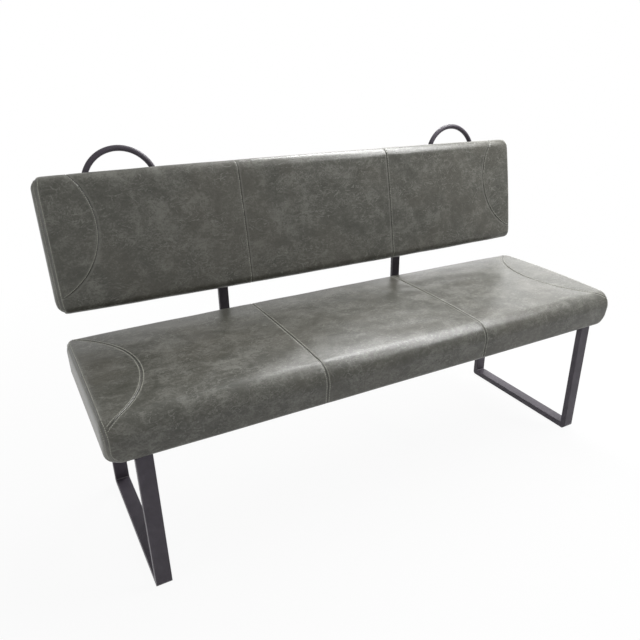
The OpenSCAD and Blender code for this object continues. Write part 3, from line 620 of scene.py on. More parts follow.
def side_panel(cushion, name, sign, rows):
    """The padded panel that closes a cushion's end. Rings of the end seam's outline shrink
    towards a middle point, and each point swells outwards with its distance from the seam.
    Behind the seam a lip and a flat inner side close it."""
    s = np.linspace(0, cushion.s[-1], rows + 1)[1:-1]
    rim = cushion.surface(cushion.at("end", s), s)[:, 1:]
    middle = np.array([cushion.z.depth / 2, (cushion.z.low_t + cushion.z.high_t) / 4])
    rings, power, innermost, part = 34, 1.9, 0.97, 2000
    shrink = np.linspace(0, 1, rings) ** power * innermost
    ring = rim[None] + (middle - rim)[None] * shrink[:, None, None]
    flat = ring.reshape(-1, 2)
    inset = np.empty(len(flat))
    start, along = rim, np.roll(rim, -1, 0) - rim
    for k in range(0, len(flat), part):
        off = flat[k:k + part, None] - start
        share = np.clip((off * along).sum(-1) / (along * along).sum(-1), 0, 1)
        inset[k:k + part] = np.linalg.norm(off - share[..., None] * along, axis=-1).min(1)
    inset = inset.reshape(ring.shape[:2])
    run, end = np.broadcast_arrays(s, cushion.at("end", s), inset)[:2]
    outside = np.concatenate([cushion.swollen(end, inset, run)[..., None], ring], -1)
    core, gap = cushion.core(), cushion.c.gap
    lip = cushion.lining(cushion.at("end", s) + gap / 2, s, gap)
    base = cushion.lining(core, s, gap)
    centre = [[cushion.end_half + cushion.z.swell + gap, *middle], [core, *middle]]
    points = np.concatenate([outside.reshape(-1, 3), lip, base, centre])
    points[:, 0] *= sign
    count, number = len(s), np.arange(len(s))
    last, lip_ring, base_ring = ((rings + k) * count + number for k in (-1, 0, 1))
    faces = tube_faces(rings, count, closed=False)
    faces += loop_faces(number, lip_ring) + loop_faces(lip_ring, base_ring)
    faces += fan_faces(last, len(points) - 2) + fan_faces(base_ring, len(points) - 1)
    seam = np.tile([0.0, FAR_FROM_SEAMS, 0.0], (len(points), 1))
    seam[:inset.size, 0], seam[:inset.size, 1] = run.ravel(), inset.ravel()
    return put_mesh(name, cushion.world(points), faces, seam)


def stitch_row(place, runs, pitch, diameter):
    """Stitches along a seam. place(runs) gives points on the cover and a second set of
    points just outside it, so that each stitch can stand square to the cover. Each stitch
    is a thread that arches out of the cover and dives in at both ends: five rings of six
    points along its length, closed by a point at each end."""
    samples, sides, step, beyond = 1200, 6, 1e-4, 1.12
    on, out = place(np.linspace(*runs, samples))
    travel = np.concatenate([[0], np.cumsum(np.linalg.norm(np.diff(on, axis=0), axis=1))])
    count = max(1, int(travel[-1] / pitch))
    centre = (np.arange(count) + 0.5) * travel[-1] / count
    share = np.array([-1.0, -0.62, 0.0, 0.62, 1.0])
    sink = np.array([-0.75, 0.18, 0.38, 0.18, -0.75]) * diameter
    thick = np.array([0.34, 0.48, 0.5, 0.48, 0.34]) * diameter
    reach = 0.41 * pitch

    def follow(values, where):
        return np.stack([np.interp(where, travel, values[:, k]) for k in range(3)], -1)

    where = centre[:, None] + reach * share
    middle = follow(on, where)
    normal = unit(follow(out, where) - middle)
    across = np.cross(unit(follow(on, where + step) - follow(on, where - step)), normal)
    angle = 2 * math.pi * np.arange(sides)[:, None] / sides
    ring = across[..., None, :] * np.cos(angle) + normal[..., None, :] * np.sin(angle)
    points = (middle + normal * sink[:, None])[..., None, :] + ring * thick[:, None, None]
    tips = follow(on, centre[:, None] + reach * np.array([-beyond, beyond]))
    block = np.concatenate([points.reshape(count, -1, 3), tips - normal[:, [0, -1]] * diameter], 1)
    number, last, tip = np.arange(sides), (len(share) - 1) * sides, len(share) * sides
    ends = fan_faces(number, tip) + fan_faces(last + number, tip + 1)
    return block.reshape(-1, 3), tube_faces(len(share), sides, closed=False), ends, count


def stitching(cushion, name, rows, made):
    """All topstitching of a cushion as one piece: rows at their distances from the curved
    seams and the cross seams, and one row to each side of the end seams. Each row has a
    second set of points just outside the cover, along the cross product of its slopes."""
    c, (tail, wide, narrow), (d, outside) = cushion.c, (0.06, 0.012, 0.004), (2e-4, 0.001)
    blocks, faces, whole = [], [], (tail, cushion.s[-1] - tail)

    def add(place, runs):
        start = sum(map(len, blocks))
        points, quads, ends, count = stitch_row(place, runs, c.pitch, c.thread_d)
        base = start + len(points) // count * np.arange(count)[:, None, None]
        for kind in (quads, ends):
            faces.extend((np.array(kind)[None] + base).reshape(-1, len(kind[0])).tolist())
        blocks.append(points)

    def on_face(x, s, sign):
        on = cushion.surface(sign * x, s)
        along = cushion.surface(sign * x, s + d) - cushion.surface(sign * x, s - d)
        across = cushion.surface(sign * (x + d), s) - cushion.surface(sign * (x - d), s)
        out = on + sign * outside * unit(np.cross(across, along))
        return cushion.world(on), cushion.world(out)

    def beside(seam, off, s, sign):
        slope, cos = cushion.at(seam + "_slope", s), cushion.at(seam + "_cos", s)
        return on_face(cushion.at(seam, s) + off * cos, s - off * slope * cos, sign)

    def on_side(s, sign):
        on = cushion.side(s, c.row)
        inner = cushion.side(s, c.row + 2 * d) - on
        normal = unit(np.cross(cushion.side(s + d, c.row) - cushion.side(s - d, c.row), inner))
        out, flip = on + normal * np.sign(normal[:, :1]) * outside, np.array([sign, 1, 1])
        return cushion.world(on * flip), cushion.world(out * flip)

    for sign in (-1, 1):
        for off in rows:
            runs = cushion.opened_past(wide if off > 0 else narrow)
            add(lambda s: beside("curve", off, s, sign), runs)
        add(lambda s: beside("end", -c.row, s, sign), whole)
        for off in rows:
            add(lambda s: on_face(np.full(s.shape, cushion.z.cross_x + off), s, sign), whole)
        add(lambda s: on_side(s, sign), whole)
    piece = put_mesh(name, np.concatenate(blocks), faces, smooth_deg=180)
    return dress(piece, made)


def rounded_ring(half_x, low_v, high_v, r, steps=10):
    """The outline of a rectangle with round corners, from x = -half_x to half_x."""
    a = np.linspace(0, math.pi / 2, steps)
    corners = [(half_x - r, low_v + r, -math.pi / 2), (half_x - r, high_v - r, 0.0),
               (r - half_x, high_v - r, math.pi / 2), (r - half_x, low_v + r, math.pi)]
    x = np.concatenate([cx + r * np.cos(t + a) for cx, cv, t in corners])
    v = np.concatenate([cv + r * np.sin(t + a) for cx, cv, t in corners])
    return np.stack([x, v], -1)


def bead(low_x, high_x, y, z, r, steps=90, sides=8, pitch=0.0032, tip=0.6):
    """A weld bead along x: rings of points whose radius is rippled by a tenth, closed by a
    point at each end."""
    x = np.linspace(low_x, high_x, steps)[:, None]
    angle = 2 * math.pi * np.arange(sides) / sides
    size = r * (1 + 0.1 * np.sin(2 * math.pi * (x - low_x) / pitch))
    rings = np.stack(np.broadcast_arrays(
        x, y - size * np.cos(angle), z + size * np.sin(angle)), -1).reshape(-1, 3)
    tips = [[low_x - tip * r, y, z], [high_x + tip * r, y, z]]
    number, last = np.arange(sides), (steps - 1) * sides
    faces = tube_faces(steps, sides, closed=False)
    faces += fan_faces(number, len(rings)) + fan_faces(last + number, len(rings) + 1)
    return np.concatenate([rings, tips]), faces


# Materials


def node(tree, kind, inputs=None, **settings):
    """Adds a shader node. inputs maps a socket's name or number to a value or to another
    node's output, which is then linked."""
    made = tree.nodes.new(kind)
    for key, value in settings.items():
        setattr(made, key, value)
    for key, value in (inputs or {}).items():
        if isinstance(value, bpy.types.NodeSocket):
            tree.links.new(value, made.inputs[key])
        else:
            made.inputs[key].default_value = value
    return made


def math_node(tree, operation, *values, clamp=False):
    """A Math node's output."""
    return node(tree, "ShaderNodeMath", dict(enumerate(values)), operation=operation,
                use_clamp=clamp).outputs[0]


def times(tree, first, second, added=0.0):
    """first times second plus what is added."""
    return math_node(tree, "MULTIPLY_ADD", first, second, added)


def blend(tree, share, first, second):
    """A colour between two colours, each an RGB triple or a node's output."""
    both = [c if isinstance(c, bpy.types.NodeSocket) else opaque(c) for c in (first, second)]
    made = node(tree, "ShaderNodeMix", {0: share, 6: both[0], 7: both[1]}, data_type="RGBA")
    return made.outputs[2]


def spread(tree, value, low, high, to_low=0.0, to_high=1.0):
    """value mapped from low..high to to_low..to_high, eased and held inside."""
    return node(tree, "ShaderNodeMapRange", {0: value, 1: low, 2: high, 3: to_low, 4: to_high},
                interpolation_type="SMOOTHSTEP").outputs[0]


def noise(tree, place, scale, detail=3.0, roughness=0.5, distortion=0.0):
    """A Noise Texture's value."""
    return node(tree, "ShaderNodeTexNoise",
                {"Vector": place, "Scale": scale, "Detail": detail, "Roughness": roughness,
                 "Distortion": distortion}).outputs["Fac"]


def cells(tree, place, scale, inputs=None, **settings):
    """A Voronoi Texture's distance."""
    return node(tree, "ShaderNodeTexVoronoi", {"Vector": place, "Scale": scale, **(inputs or {})},
                **settings).outputs["Distance"]


def mapped(tree, place, inputs):
    """Places moved and scaled by a Mapping node."""
    return node(tree, "ShaderNodeMapping", {"Vector": place, **inputs}).outputs[0]


def opaque(rgb):
    """An RGB colour with alpha 1."""
    return (*rgb, 1.0)


def toned(rgb, factor, lift=0.0):
    """An RGB colour made darker or lighter by a factor and a lift, at most 1."""
    return [min(1.0, factor * value + lift) for value in rgb]


def node_group(name, inputs, outputs):
    """Turns a function that fills a node group into one that gives the group, which is
    made once. inputs maps a name to its default, or to None for a vector. The function
    gets the tree and its inputs and returns the value of each output by its name."""
    def wrap(fill):
        @functools.wraps(fill)
        def given():
            tree = bpy.data.node_groups.get(name)
            if tree:
                return tree
            tree = bpy.data.node_groups.new(name, "ShaderNodeTree")
            for label, value in inputs.items():
                kind = "NodeSocketVector" if value is None else "NodeSocketFloat"
                socket = tree.interface.new_socket(label, in_out="INPUT", socket_type=kind)
                if value is not None:
                    socket.default_value = value
            for label in outputs:
                tree.interface.new_socket(label, in_out="OUTPUT", socket_type="NodeSocketFloat")
            into = tree.nodes.new("NodeGroupOutput").inputs
            for label, value in fill(tree, tree.nodes.new("NodeGroupInput").outputs).items():
                tree.links.new(value, into[label])
            return tree
        return given
    return wrap


def use(tree, made, inputs=None):
    """Places a node group in a tree and returns its outputs."""
    return node(tree, "ShaderNodeGroup", inputs, node_tree=made()).outputs


def material(name, roughness, constants=None):
    """Turns a function that describes a finish into one that gives its material, which is
    made once. Roughness and constants are set on the Principled shader's sockets. The
    function gets the tree, the Object coordinates and the colours, and returns the colour,
    the relief in metres and, where it varies, the roughness."""
    def wrap(describe):
        @functools.wraps(describe)
        def given(finish):
            made = bpy.data.materials.get(name)
            if made:
                return made
            made = bpy.data.materials.new(name)
            made.use_nodes = True
            tree = made.node_tree
            into = tree.nodes["Principled BSDF"].inputs
            for key, value in {"Roughness": roughness, **(constants or {})}.items():
                into[key].default_value = value
            place = node(tree, "ShaderNodeTexCoord").outputs["Object"]
            tone, height, *rough = describe(tree, place, finish)
            relief = {"Height": height, "Strength": 1.0, "Distance": 1.0}
            tree.links.new(tone, into["Base Color"])
            tree.links.new(node(tree, "ShaderNodeBump", relief).outputs[0], into["Normal"])
            for value in rough:
                tree.links.new(value, into["Roughness"])
            return made
        return given
    return wrap


@node_group("Hide clouds", {"Place": None, "Seed": 0.0}, ("Tone", "Vein", "Wrinkle", "Warm"))
def hide_clouds(tree, given):
    """The cloudy tone of a waxed leather. Wide clouds, blotches and small flecks, the
    blotches on places stretched along x, are summed to Tone. Vein and Wrinkle mark fine
    wandering lines, the places where a distorted noise passes its middle value, and Warm
    marks slow clouds of a browner tint."""
    moved = node(tree, "ShaderNodeVectorMath", {0: given["Place"]}, operation="ADD")
    tree.links.new(given["Seed"], moved.inputs[1])
    place = moved.outputs[0]
    flat = mapped(tree, place, {"Scale": (0.6, 1.0, 1.0)})
    total = 0.0
    for share, layer in (
        (0.42, noise(tree, place, scale=15.0, detail=5.0, roughness=0.62, distortion=0.7)),
        (0.28, noise(tree, flat, scale=52.0, detail=5.0, roughness=0.66, distortion=1.6)),
        (0.30, noise(tree, place, scale=210.0, detail=3.0, roughness=0.65, distortion=1.0)),
    ):
        total = times(tree, layer, share, total)
    found = {"Tone": spread(tree, total, 0.34, 0.66)}
    for label, scale, turn in (("Vein", 32.0, 0.0), ("Wrinkle", 62.0, 7.3)):
        aside = mapped(tree, flat, {"Location": (turn, turn, turn)})
        line = noise(tree, aside, scale, roughness=0.55, distortion=1.8)
        line = math_node(tree, "ABSOLUTE", math_node(tree, "SUBTRACT", line, 0.5))
        line = spread(tree, line, 0.0, 0.022, 1.0, 0.0)
        where = spread(tree, noise(tree, aside, 0.45 * scale, 2.0), 0.40, 0.56)
        found[label] = times(tree, line, where)
    found["Warm"] = spread(tree, noise(tree, place, 4.5, distortion=0.5), 0.42, 0.64)
    return found


@node_group("Hide grain", {"Place": None, "Pebble": 2.5e-5, "Dent": 2.2e-4}, ("Height",))
def hide_grain(tree, given):
    """The pebbled grain of leather, as a height in metres: round cells about a millimetre
    wide, fine pores, and soft dents some centimetres wide."""
    place = given["Place"]
    pores = times(tree, noise(tree, place, 2600.0, detail=2.0, roughness=0.6), 0.6)
    pebble = times(tree, cells(tree, place, 850.0, feature="SMOOTH_F1"), -1.0, pores)
    dents = noise(tree, place, 55.0, detail=4.0, distortion=0.5)
    fine = times(tree, pebble, given["Pebble"])
    return {"Height": times(tree, dents, given["Dent"], fine)}


@node_group("Seam marks", {"Pitch": 0.0052, "Pucker": 1.1e-4}, ("Shade", "Rub and highlight", "Height"))
def seam_marks(tree, given):
    """Marks on the cover beside a seam, from the seam attribute's run and distance: Shade is 1
    in the groove and carries painted shade there, the second output is 1 on the ridges beside it
    and carries rubbed wear together with a painted highlight where the ridges catch light, and
    Height is a pucker at every stitch that fades with the distance."""
    mark = node(tree, "ShaderNodeAttribute", attribute_name="seam").outputs["Vector"]
    run, off = node(tree, "ShaderNodeSeparateXYZ", {0: mark}).outputs[:2]

    def band(rise, fall):
        return math_node(tree, "SUBTRACT", spread(tree, off, *rise), spread(tree, off, *fall))

    turn = math_node(tree, "DIVIDE", times(tree, run, 2 * math.pi), given["Pitch"])
    wave = times(tree, math_node(tree, "SINE", turn), band((0.0005, 0.003), (0.003, 0.012)))
    return {
        # Painted shade in the groove, then rubbed wear with a painted highlight on the ridges.
        "Shade": spread(tree, off, 0.0003, 0.0015, 1.0, 0.0),
        "Rub and highlight": band((0.0015, 0.0030), (0.0045, 0.0090)),
        "Height": times(tree, wave, given["Pucker"]),
    }


@node_group("Speckle", {"Place": None, "Scale": 1500.0, "Depth": 1e-5},
            ("Fleck", "Cloud", "Height"))
def speckle(tree, given):
    """A fine speckle and a slow cloudiness, for coats, cloth and plastic. Fleck and Cloud
    run from 0 to 1, and Height is the speckle times its depth in metres."""
    fleck = noise(tree, given["Place"], given["Scale"], roughness=0.6)
    cloud = noise(tree, given["Place"], 14.0, detail=5.0, roughness=0.6, distortion=0.3)
    return {"Fleck": fleck, "Cloud": cloud, "Height": times(tree, fleck, given["Depth"])}


@material("Leather", 0.4, {"Specular IOR Level": 0.42})
def leather(tree, place, finish):
    """Waxed leather: cloudy dark green-grey with rubbed lighter clouds, creases and a
    pebbled grain. Painted shade darkens the seams, and the ridges beside them are paler by
    rubbed wear and a painted highlight."""
    clouds = use(tree, hide_clouds, {"Place": place, "Seed": 3.7})
    marks = use(tree, seam_marks)
    grain = use(tree, hide_grain, {"Place": place})
    ramp = node(tree, "ShaderNodeValToRGB", {0: clouds["Tone"]})
    stops = ramp.color_ramp.elements
    stops[0].position, stops[0].color = 0.0, opaque(finish.hide_dark)
    stops[1].position, stops[1].color = 1.0, opaque(finish.hide_light)
    stops.new(0.5).color = opaque(finish.hide)
    tone = ramp.outputs[0]
    # Warm, Wrinkle and Vein are the leather's own clouds and lines; the seam marks paint a
    # highlight, partly rubbed wear, on the ridges beside the seams and paint shade in the grooves.
    for mark, share, tint in (
        (clouds["Warm"], 0.25, finish.hide_warm),
        (clouds["Wrinkle"], 0.65, finish.hide_dark),
        (clouds["Vein"], 0.95, finish.hide_light),
        (marks["Rub and highlight"], 0.42, finish.hide_light),
        (marks["Shade"], 0.62, toned(finish.hide_dark, 0.35)),
    ):
        tone = blend(tree, times(tree, mark, share), tone, tint)
    rough = spread(tree, clouds["Tone"], 0.0, 1.0, 0.30, 0.37)
    height = times(tree, clouds["Wrinkle"], -8e-5, grain["Height"])
    return tone, math_node(tree, "ADD", height, marks["Height"]), rough


@material("Thread", 0.55)
def thread(tree, place, finish):
    """Twisted polyester thread: a pale grey with a fine twist in its relief."""
    twist = node(tree, "ShaderNodeTexWave", {"Vector": place, "Scale": 900.0, "Distortion": 0.6},
                 bands_direction="DIAGONAL").outputs["Fac"]
    return (blend(tree, twist, toned(finish.thread, 0.72), finish.thread),
            times(tree, twist, 6e-5))


def coat(tree, place, tone):
    """A powder coat of a tone: fine orange peel, and a little dust that lightens its
    clouds."""
    spots = use(tree, speckle, {"Place": place, "Scale": 1400.0, "Depth": 1.6e-5})
    share = spread(tree, spots["Cloud"], 0.35, 0.75)
    return (blend(tree, share, tone, toned(tone, 1.35, 0.004)), spots["Height"],
            spread(tree, spots["Fleck"], 0.3, 0.7, 0.36, 0.50))


@material("Powder coat", 0.42, {"Specular IOR Level": 0.25})
def coated_steel(tree, place, finish):
    """Powder-coated steel: nearly black with a faint violet."""
    return coat(tree, place, finish.coat)


@material("Weld coat with painted highlight", 0.42, {"Specular IOR Level": 0.25})
def highlit_weld_coat(tree, place, finish):
    """The coat on the weld beads, made paler as a painted highlight where the beads catch light.
    """
    return coat(tree, place, finish.weld)


@material("Zinc plate", 0.3, {"Metallic": 1.0})
def plated(tree, place, finish):
    """Zinc-plated steel with a fine speckle and dull clouds."""
    spots = use(tree, speckle, {"Place": place, "Scale": 900.0, "Depth": 8e-6})
    share = spread(tree, spots["Cloud"], 0.3, 0.7)
    return (blend(tree, share, toned(finish.zinc, 0.7), finish.zinc), spots["Height"],
            spread(tree, spots["Fleck"], 0.3, 0.7, 0.24, 0.42))


@material("Plywood", 0.62)
def plywood(tree, place, finish):
    """Birch plywood: long grain along x on its faces and glued plies on its edges."""
    along = mapped(tree, place, {"Scale": (0.06, 1.0, 1.0)})
    grain = noise(tree, along, 160.0, detail=6.0, roughness=0.62, distortion=1.1)
    plies = node(tree, "ShaderNodeTexWave", {"Vector": place, "Scale": 55.0, "Distortion": 0.5},
                 bands_direction="Z").outputs["Fac"]
    dark = toned(finish.ply, 0.55)
    tone = blend(tree, spread(tree, grain, 0.35, 0.7), dark, finish.ply)
    return blend(tree, times(tree, plies, 0.25), tone, dark), times(tree, grain, 1.2e-4)


@material("Foam", 0.9)
def cell_foam(tree, place, finish):
    """Cut open-cell foam: pale, matt and finely pitted."""
    pits = cells(tree, place, 700.0)
    return (blend(tree, spread(tree, pits, 0.1, 0.7), toned(finish.foam, 0.7), finish.foam),
            times(tree, pits, 3e-4))


@material("Lining cloth", 0.85)
def lining_cloth(tree, place, finish):
    """Spun-bonded lining cloth: black fibres pressed in a small square pattern."""
    spots = use(tree, speckle, {"Place": place, "Scale": 2200.0, "Depth": 5e-5})
    dots = cells(tree, place, 380.0, {"Randomness": 0.0}, distance="CHEBYCHEV")
    pressed = spread(tree, dots, 0.18, 0.30)
    share = times(tree, spots["Fleck"], pressed)
    return (blend(tree, share, finish.lining, toned(finish.lining, 2.4, 0.01)),
            times(tree, pressed, 1.2e-4, spots["Height"]))


@material("Moulded plastic", 0.5)
def moulded(tree, place, finish):
    """Moulded plastic with a fine eroded texture."""
    spots = use(tree, speckle, {"Place": place, "Scale": 2600.0, "Depth": 1.4e-5})
    return blend(tree, spots["Cloud"], finish.glide, toned(finish.glide, 1.6)), spots["Height"]


# Operators


class BenchOperator(Operator):
    """What the operators of the bench share."""

    bl_options = {"REGISTER", "UNDO"}

    def cover(self, context, cushion, word):
        """Builds the seven panels of a cushion's cover and lets each stand for its node."""
        hide = leather(context.scene.bench.finish)
        whole = (0.0, float(cushion.s[-1]))
        low_tip, high_tip = cushion.tip
        tips = (low_tip + 1e-5, high_tip - 1e-5)
        rows, end_rows = (int((b - a) / ROW_PITCH) for a, b in (whole, cushion.tip))

        def cross(s):
            return np.full(np.shape(s), cushion.z.cross_x)

        def end(s):
            return cushion.at("end", s)

        def curve(s):
            return cushion.at("curve", s)

        def edge(s):
            return np.where((s > low_tip) & (s < high_tip), curve(s), end(s))

        def mirrored(seam):
            return lambda s: -seam(s)

        parts = {
            "centre_panel": (mirrored(cross), cross, whole, rows, 44, 0.10),
            "left_panel": (mirrored(edge), mirrored(cross), whole, rows, 42, 0.12),
            "right_panel": (cross, edge, whole, rows, 42, 0.12),
            "left_end_panel": (mirrored(end), mirrored(curve), tips, end_rows, 20, 0.3),
            "right_end_panel": (curve, end, tips, end_rows, 20, 0.3),
        }
        for part, given in parts.items():
            piece = cover_panel(cushion, f"{word}_{part}_cover", *given)
            self.stand_in(piece, hide, f"{word}_{part}")
        for side, sign in (("left", -1), ("right", 1)):
            piece = side_panel(cushion, f"{word}_{side}_side_cover", sign, rows)
            self.stand_in(piece, hide, f"{word}_{side}_side")

    def stand_in(self, piece, made, cad_node, fill=0.85, slot="cover"):
        """Dresses a padded piece that stands for a CAD node."""
        dress(piece, made)
        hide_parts(cad_node)


class BENCH_OT_stretch(BenchOperator):
    """Stretch both covers over their fillings by cloth simulation"""

    bl_idname = "bench.stretch"
    bl_label = "Stretched covers"

    def execute(self, context):
        RELIEFS.clear()
        for cushion in (seat_cushion(context.scene.bench), back_cushion(context.scene.bench)):
            RELIEFS[cushion.seed] = stretch_cover(cushion)
        return {"FINISHED"}


class BENCH_OT_seat_cover(BenchOperator):
    """Build the seat's sewn cover panels"""

    bl_idname = "bench.seat_cover"
    bl_label = "Seat cover"

    def execute(self, context):
        self.cover(context, seat_cushion(context.scene.bench), "seat")
        return {"FINISHED"}


class BENCH_OT_back_cover(BenchOperator):
    """Build the backrest's sewn cover panels"""

    bl_idname = "bench.back_cover"
    bl_label = "Backrest cover"

    def execute(self, context):
        self.cover(context, back_cushion(context.scene.bench), "back")
        return {"FINISHED"}


class BENCH_OT_stitching(BenchOperator):
    """Sew the topstitching along the seams of both cushions"""

    bl_idname = "bench.stitching"
    bl_label = "Topstitching"

    def execute(self, context):
        bench = context.scene.bench
        yarn, row, near = thread(bench.finish), bench.sewing.row, bench.sewing.near_row
        stitching(seat_cushion(bench), "seat_stitching", (-row, row), yarn)
        stitching(back_cushion(bench), "back_stitching", (near,), yarn)
        return {"FINISHED"}


class BENCH_OT_foam(BenchOperator):
    """Build the foam blocks inside the cushions"""

    bl_idname = "bench.foam"
    bl_label = "Foam blocks"

    def execute(self, context):
        """A foam block is the lining's cross-section with a pocket for its board, carried
        along x between two flat ends."""
        bench, play, samples, sections = context.scene.bench, 0.0002, 260, 40
        for word, cushion in (("seat", seat_cushion(bench)), ("back", back_cushion(bench))):
            s = np.linspace(0, cushion.s[-1], samples)
            edge = cushion.lining(0 * s, s, play)[:, 1:]
            low, high = BOARD_INSET - play, cushion.z.depth - BOARD_INSET + play
            top = cushion.c.cover_t + BOARD_T[word] + play
            keep = (edge[:, 0] < low) | (edge[:, 0] > high) | (edge[:, 1] > top)
            pocket = [[high, edge[-1, 1]], [high, top], [low, top], [low, edge[0, 1]]]
            outline = np.concatenate([edge[keep], pocket])
            half, n = cushion.core() - play, len(outline)
            rings = [np.column_stack([np.full(n, x), outline])
                     for x in np.linspace(-half, half, sections)]
            points = cushion.world(np.concatenate(rings))
            piece = put_mesh(f"{word}_foam_block", points, tube_faces(len(rings), n))
            self.stand_in(piece, cell_foam(bench.finish), f"{word}_foam", 0.95, "foam")
        return {"FINISHED"}


class BENCH_OT_rear_panel(BenchOperator):
    """Build the leather panel that closes the rear of the backrest"""

    bl_idname = "bench.rear_panel"
    bl_label = "Rear panel"

    def execute(self, context):
        """Rings of a rounded rectangle shrink by equal insets, and the panel's height
        rises over its rim as a quarter ellipse."""
        bench = context.scene.bench
        cushion = back_cushion(bench)
        low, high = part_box("back_rear_panel")
        half, thick, edge, corner, rim = (high.x - low.x) / 2, 0.0014, 0.022, 0.030, 0.0032
        insets = np.array([0, 0.0002, 0.0006, 0.0012, 0.0020, rim, 0.006, 0.012, 0.020, 0.0285])
        rise = thick * np.sqrt(1 - np.clip(1 - insets / rim, 0, 1) ** 2)
        rings = [rounded_ring(half - d, edge + d, cushion.z.depth - edge - d, corner - d)
                 for d in insets]
        n = len(rings[0])
        points = np.concatenate([np.column_stack([ring, np.full(n, -height)])
                                 for ring, height in zip(rings, rise)])
        seam = np.tile([0.0, FAR_FROM_SEAMS, 0.0], (len(points), 1))
        piece = put_mesh("back_rear_cover", cushion.world(points), tube_faces(len(rings), n), seam)
        self.stand_in(piece, leather(bench.finish), "back_rear_panel", 0.9)
        return {"FINISHED"}


class BENCH_OT_lining(BenchOperator):
    """Stretch the lining cloth under the seat"""

    bl_idname = "bench.lining"
    bl_label = "Lining cloth"

    def execute(self, context):
        """A thin closed shell over a grid with round corners. Between the parts that hold it
        up it sags by an eased step of the distance from the nearest of them times one of
        the distance from its rim, with slow creases added."""
        low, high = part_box("seat_dust_cover")
        rows, columns, corner = 90, 220, 0.030
        deepest, crease, crease_size, crease_seed = 0.0045, 0.0006, 0.07, 5
        x = np.linspace(low.x, high.x, columns)[None, :]
        y = np.linspace(low.y, high.y, rows)[:, None]
        apart = np.full((rows, columns), 1.0)
        for name in ("left_leg_plate", "right_leg_plate", "left_upright", "right_upright"):
            a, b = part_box(name)
            gap_x = np.maximum(np.maximum(a.x - x, x - b.x), 0)
            gap_y = np.maximum(np.maximum(a.y - y, y - b.y), 0)
            apart = np.minimum(apart, np.hypot(gap_x, gap_y))
        rim = np.minimum(np.minimum(x - low.x, high.x - x), np.minimum(y - low.y, high.y - y))
        sag = deepest * smooth_step((apart - 0.008) / 0.16) * smooth_step(rim / 0.10)
        folds = crease * waves(x, y, crease_size, crease_seed) * smooth_step((apart - 0.01) / 0.05)
        top = high.z - np.maximum(sag + folds * smooth_step(rim / 0.03), 0)
        x, y = np.broadcast_arrays(x, y)
        inner_x = np.clip(x, low.x + corner, high.x - corner)
        inner_y = np.clip(y, low.y + corner, high.y - corner)
        dx, dy = x - inner_x, y - inner_y
        far = np.maximum(np.hypot(dx, dy), 1e-9)
        pull = np.where((dx != 0) & (dy != 0), np.maximum(np.abs(dx), np.abs(dy)) / far, 1.0)
        above = np.stack([inner_x + dx * pull, inner_y + dy * pull, top], -1).reshape(-1, 3)
        below = above - [0, 0, high.z - low.z]
        number = np.arange(len(above)).reshape(rows, columns)
        loop = np.concatenate([number[0, :-1], number[:-1, -1], number[-1, :0:-1],
                               number[:0:-1, 0]])
        faces = grid_faces(rows, columns)
        faces += [face[::-1] for face in grid_faces(rows, columns, len(above))]
        faces += loop_faces(loop, loop + len(above))
        piece = put_mesh("seat_lining", np.concatenate([above, below]), faces)
        dress(piece, lining_cloth(context.scene.bench.finish))
        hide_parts("seat_dust_cover")
        return {"FINISHED"}


class BENCH_OT_welds(BenchOperator):
    """Lay the weld beads of the legs"""

    bl_idname = "bench.welds"
    bl_label = "Weld beads"

    def execute(self, context):
        """Straight rippled beads along each joint."""
        corner_r, plate_edge, bead_r = 0.003, 0.001, 0.0016
        parts, faces = [], []
        for side in ("left", "right"):
            front, rear, rail, plate = (
                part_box(f"{side}_leg_{part}") for part in ("front", "rear", "rail", "plate"))
            for y in (front[1].y, rear[0].y):
                for (low, high), trim, z in ((front, corner_r, rail[1].z),
                                             (plate, plate_edge, plate[0].z)):
                    points, made = bead(low.x + trim, high.x - trim, y, z, bead_r)
                    start = sum(map(len, parts))
                    faces += [[k + start for k in face] for face in made]
                    parts.append(points)
        piece = put_mesh("leg_welds", np.concatenate(parts), faces)
        # The beads take the paler coat, a painted highlight.
        dress(piece, highlit_weld_coat(context.scene.bench.finish))
        return {"FINISHED"}


class BENCH_OT_finishes(BenchOperator):
    """Give the frame, the boards and the fasteners their finishes"""

    bl_idname = "bench.finishes"
    bl_label = "Finishes"

    def execute(self, context):
        kinds = {"board": plywood, "tnuts": plated, "bolts": plated, "washers": plated,
                 "glides": moulded}
        for name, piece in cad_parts.items():
            if not piece.hide_render:
                kind = kinds.get(name.rsplit("_", 1)[-1], coated_steel)
                piece.data.materials.clear()
                piece.data.materials.append(kind(context.scene.bench.finish))
        return {"FINISHED"}


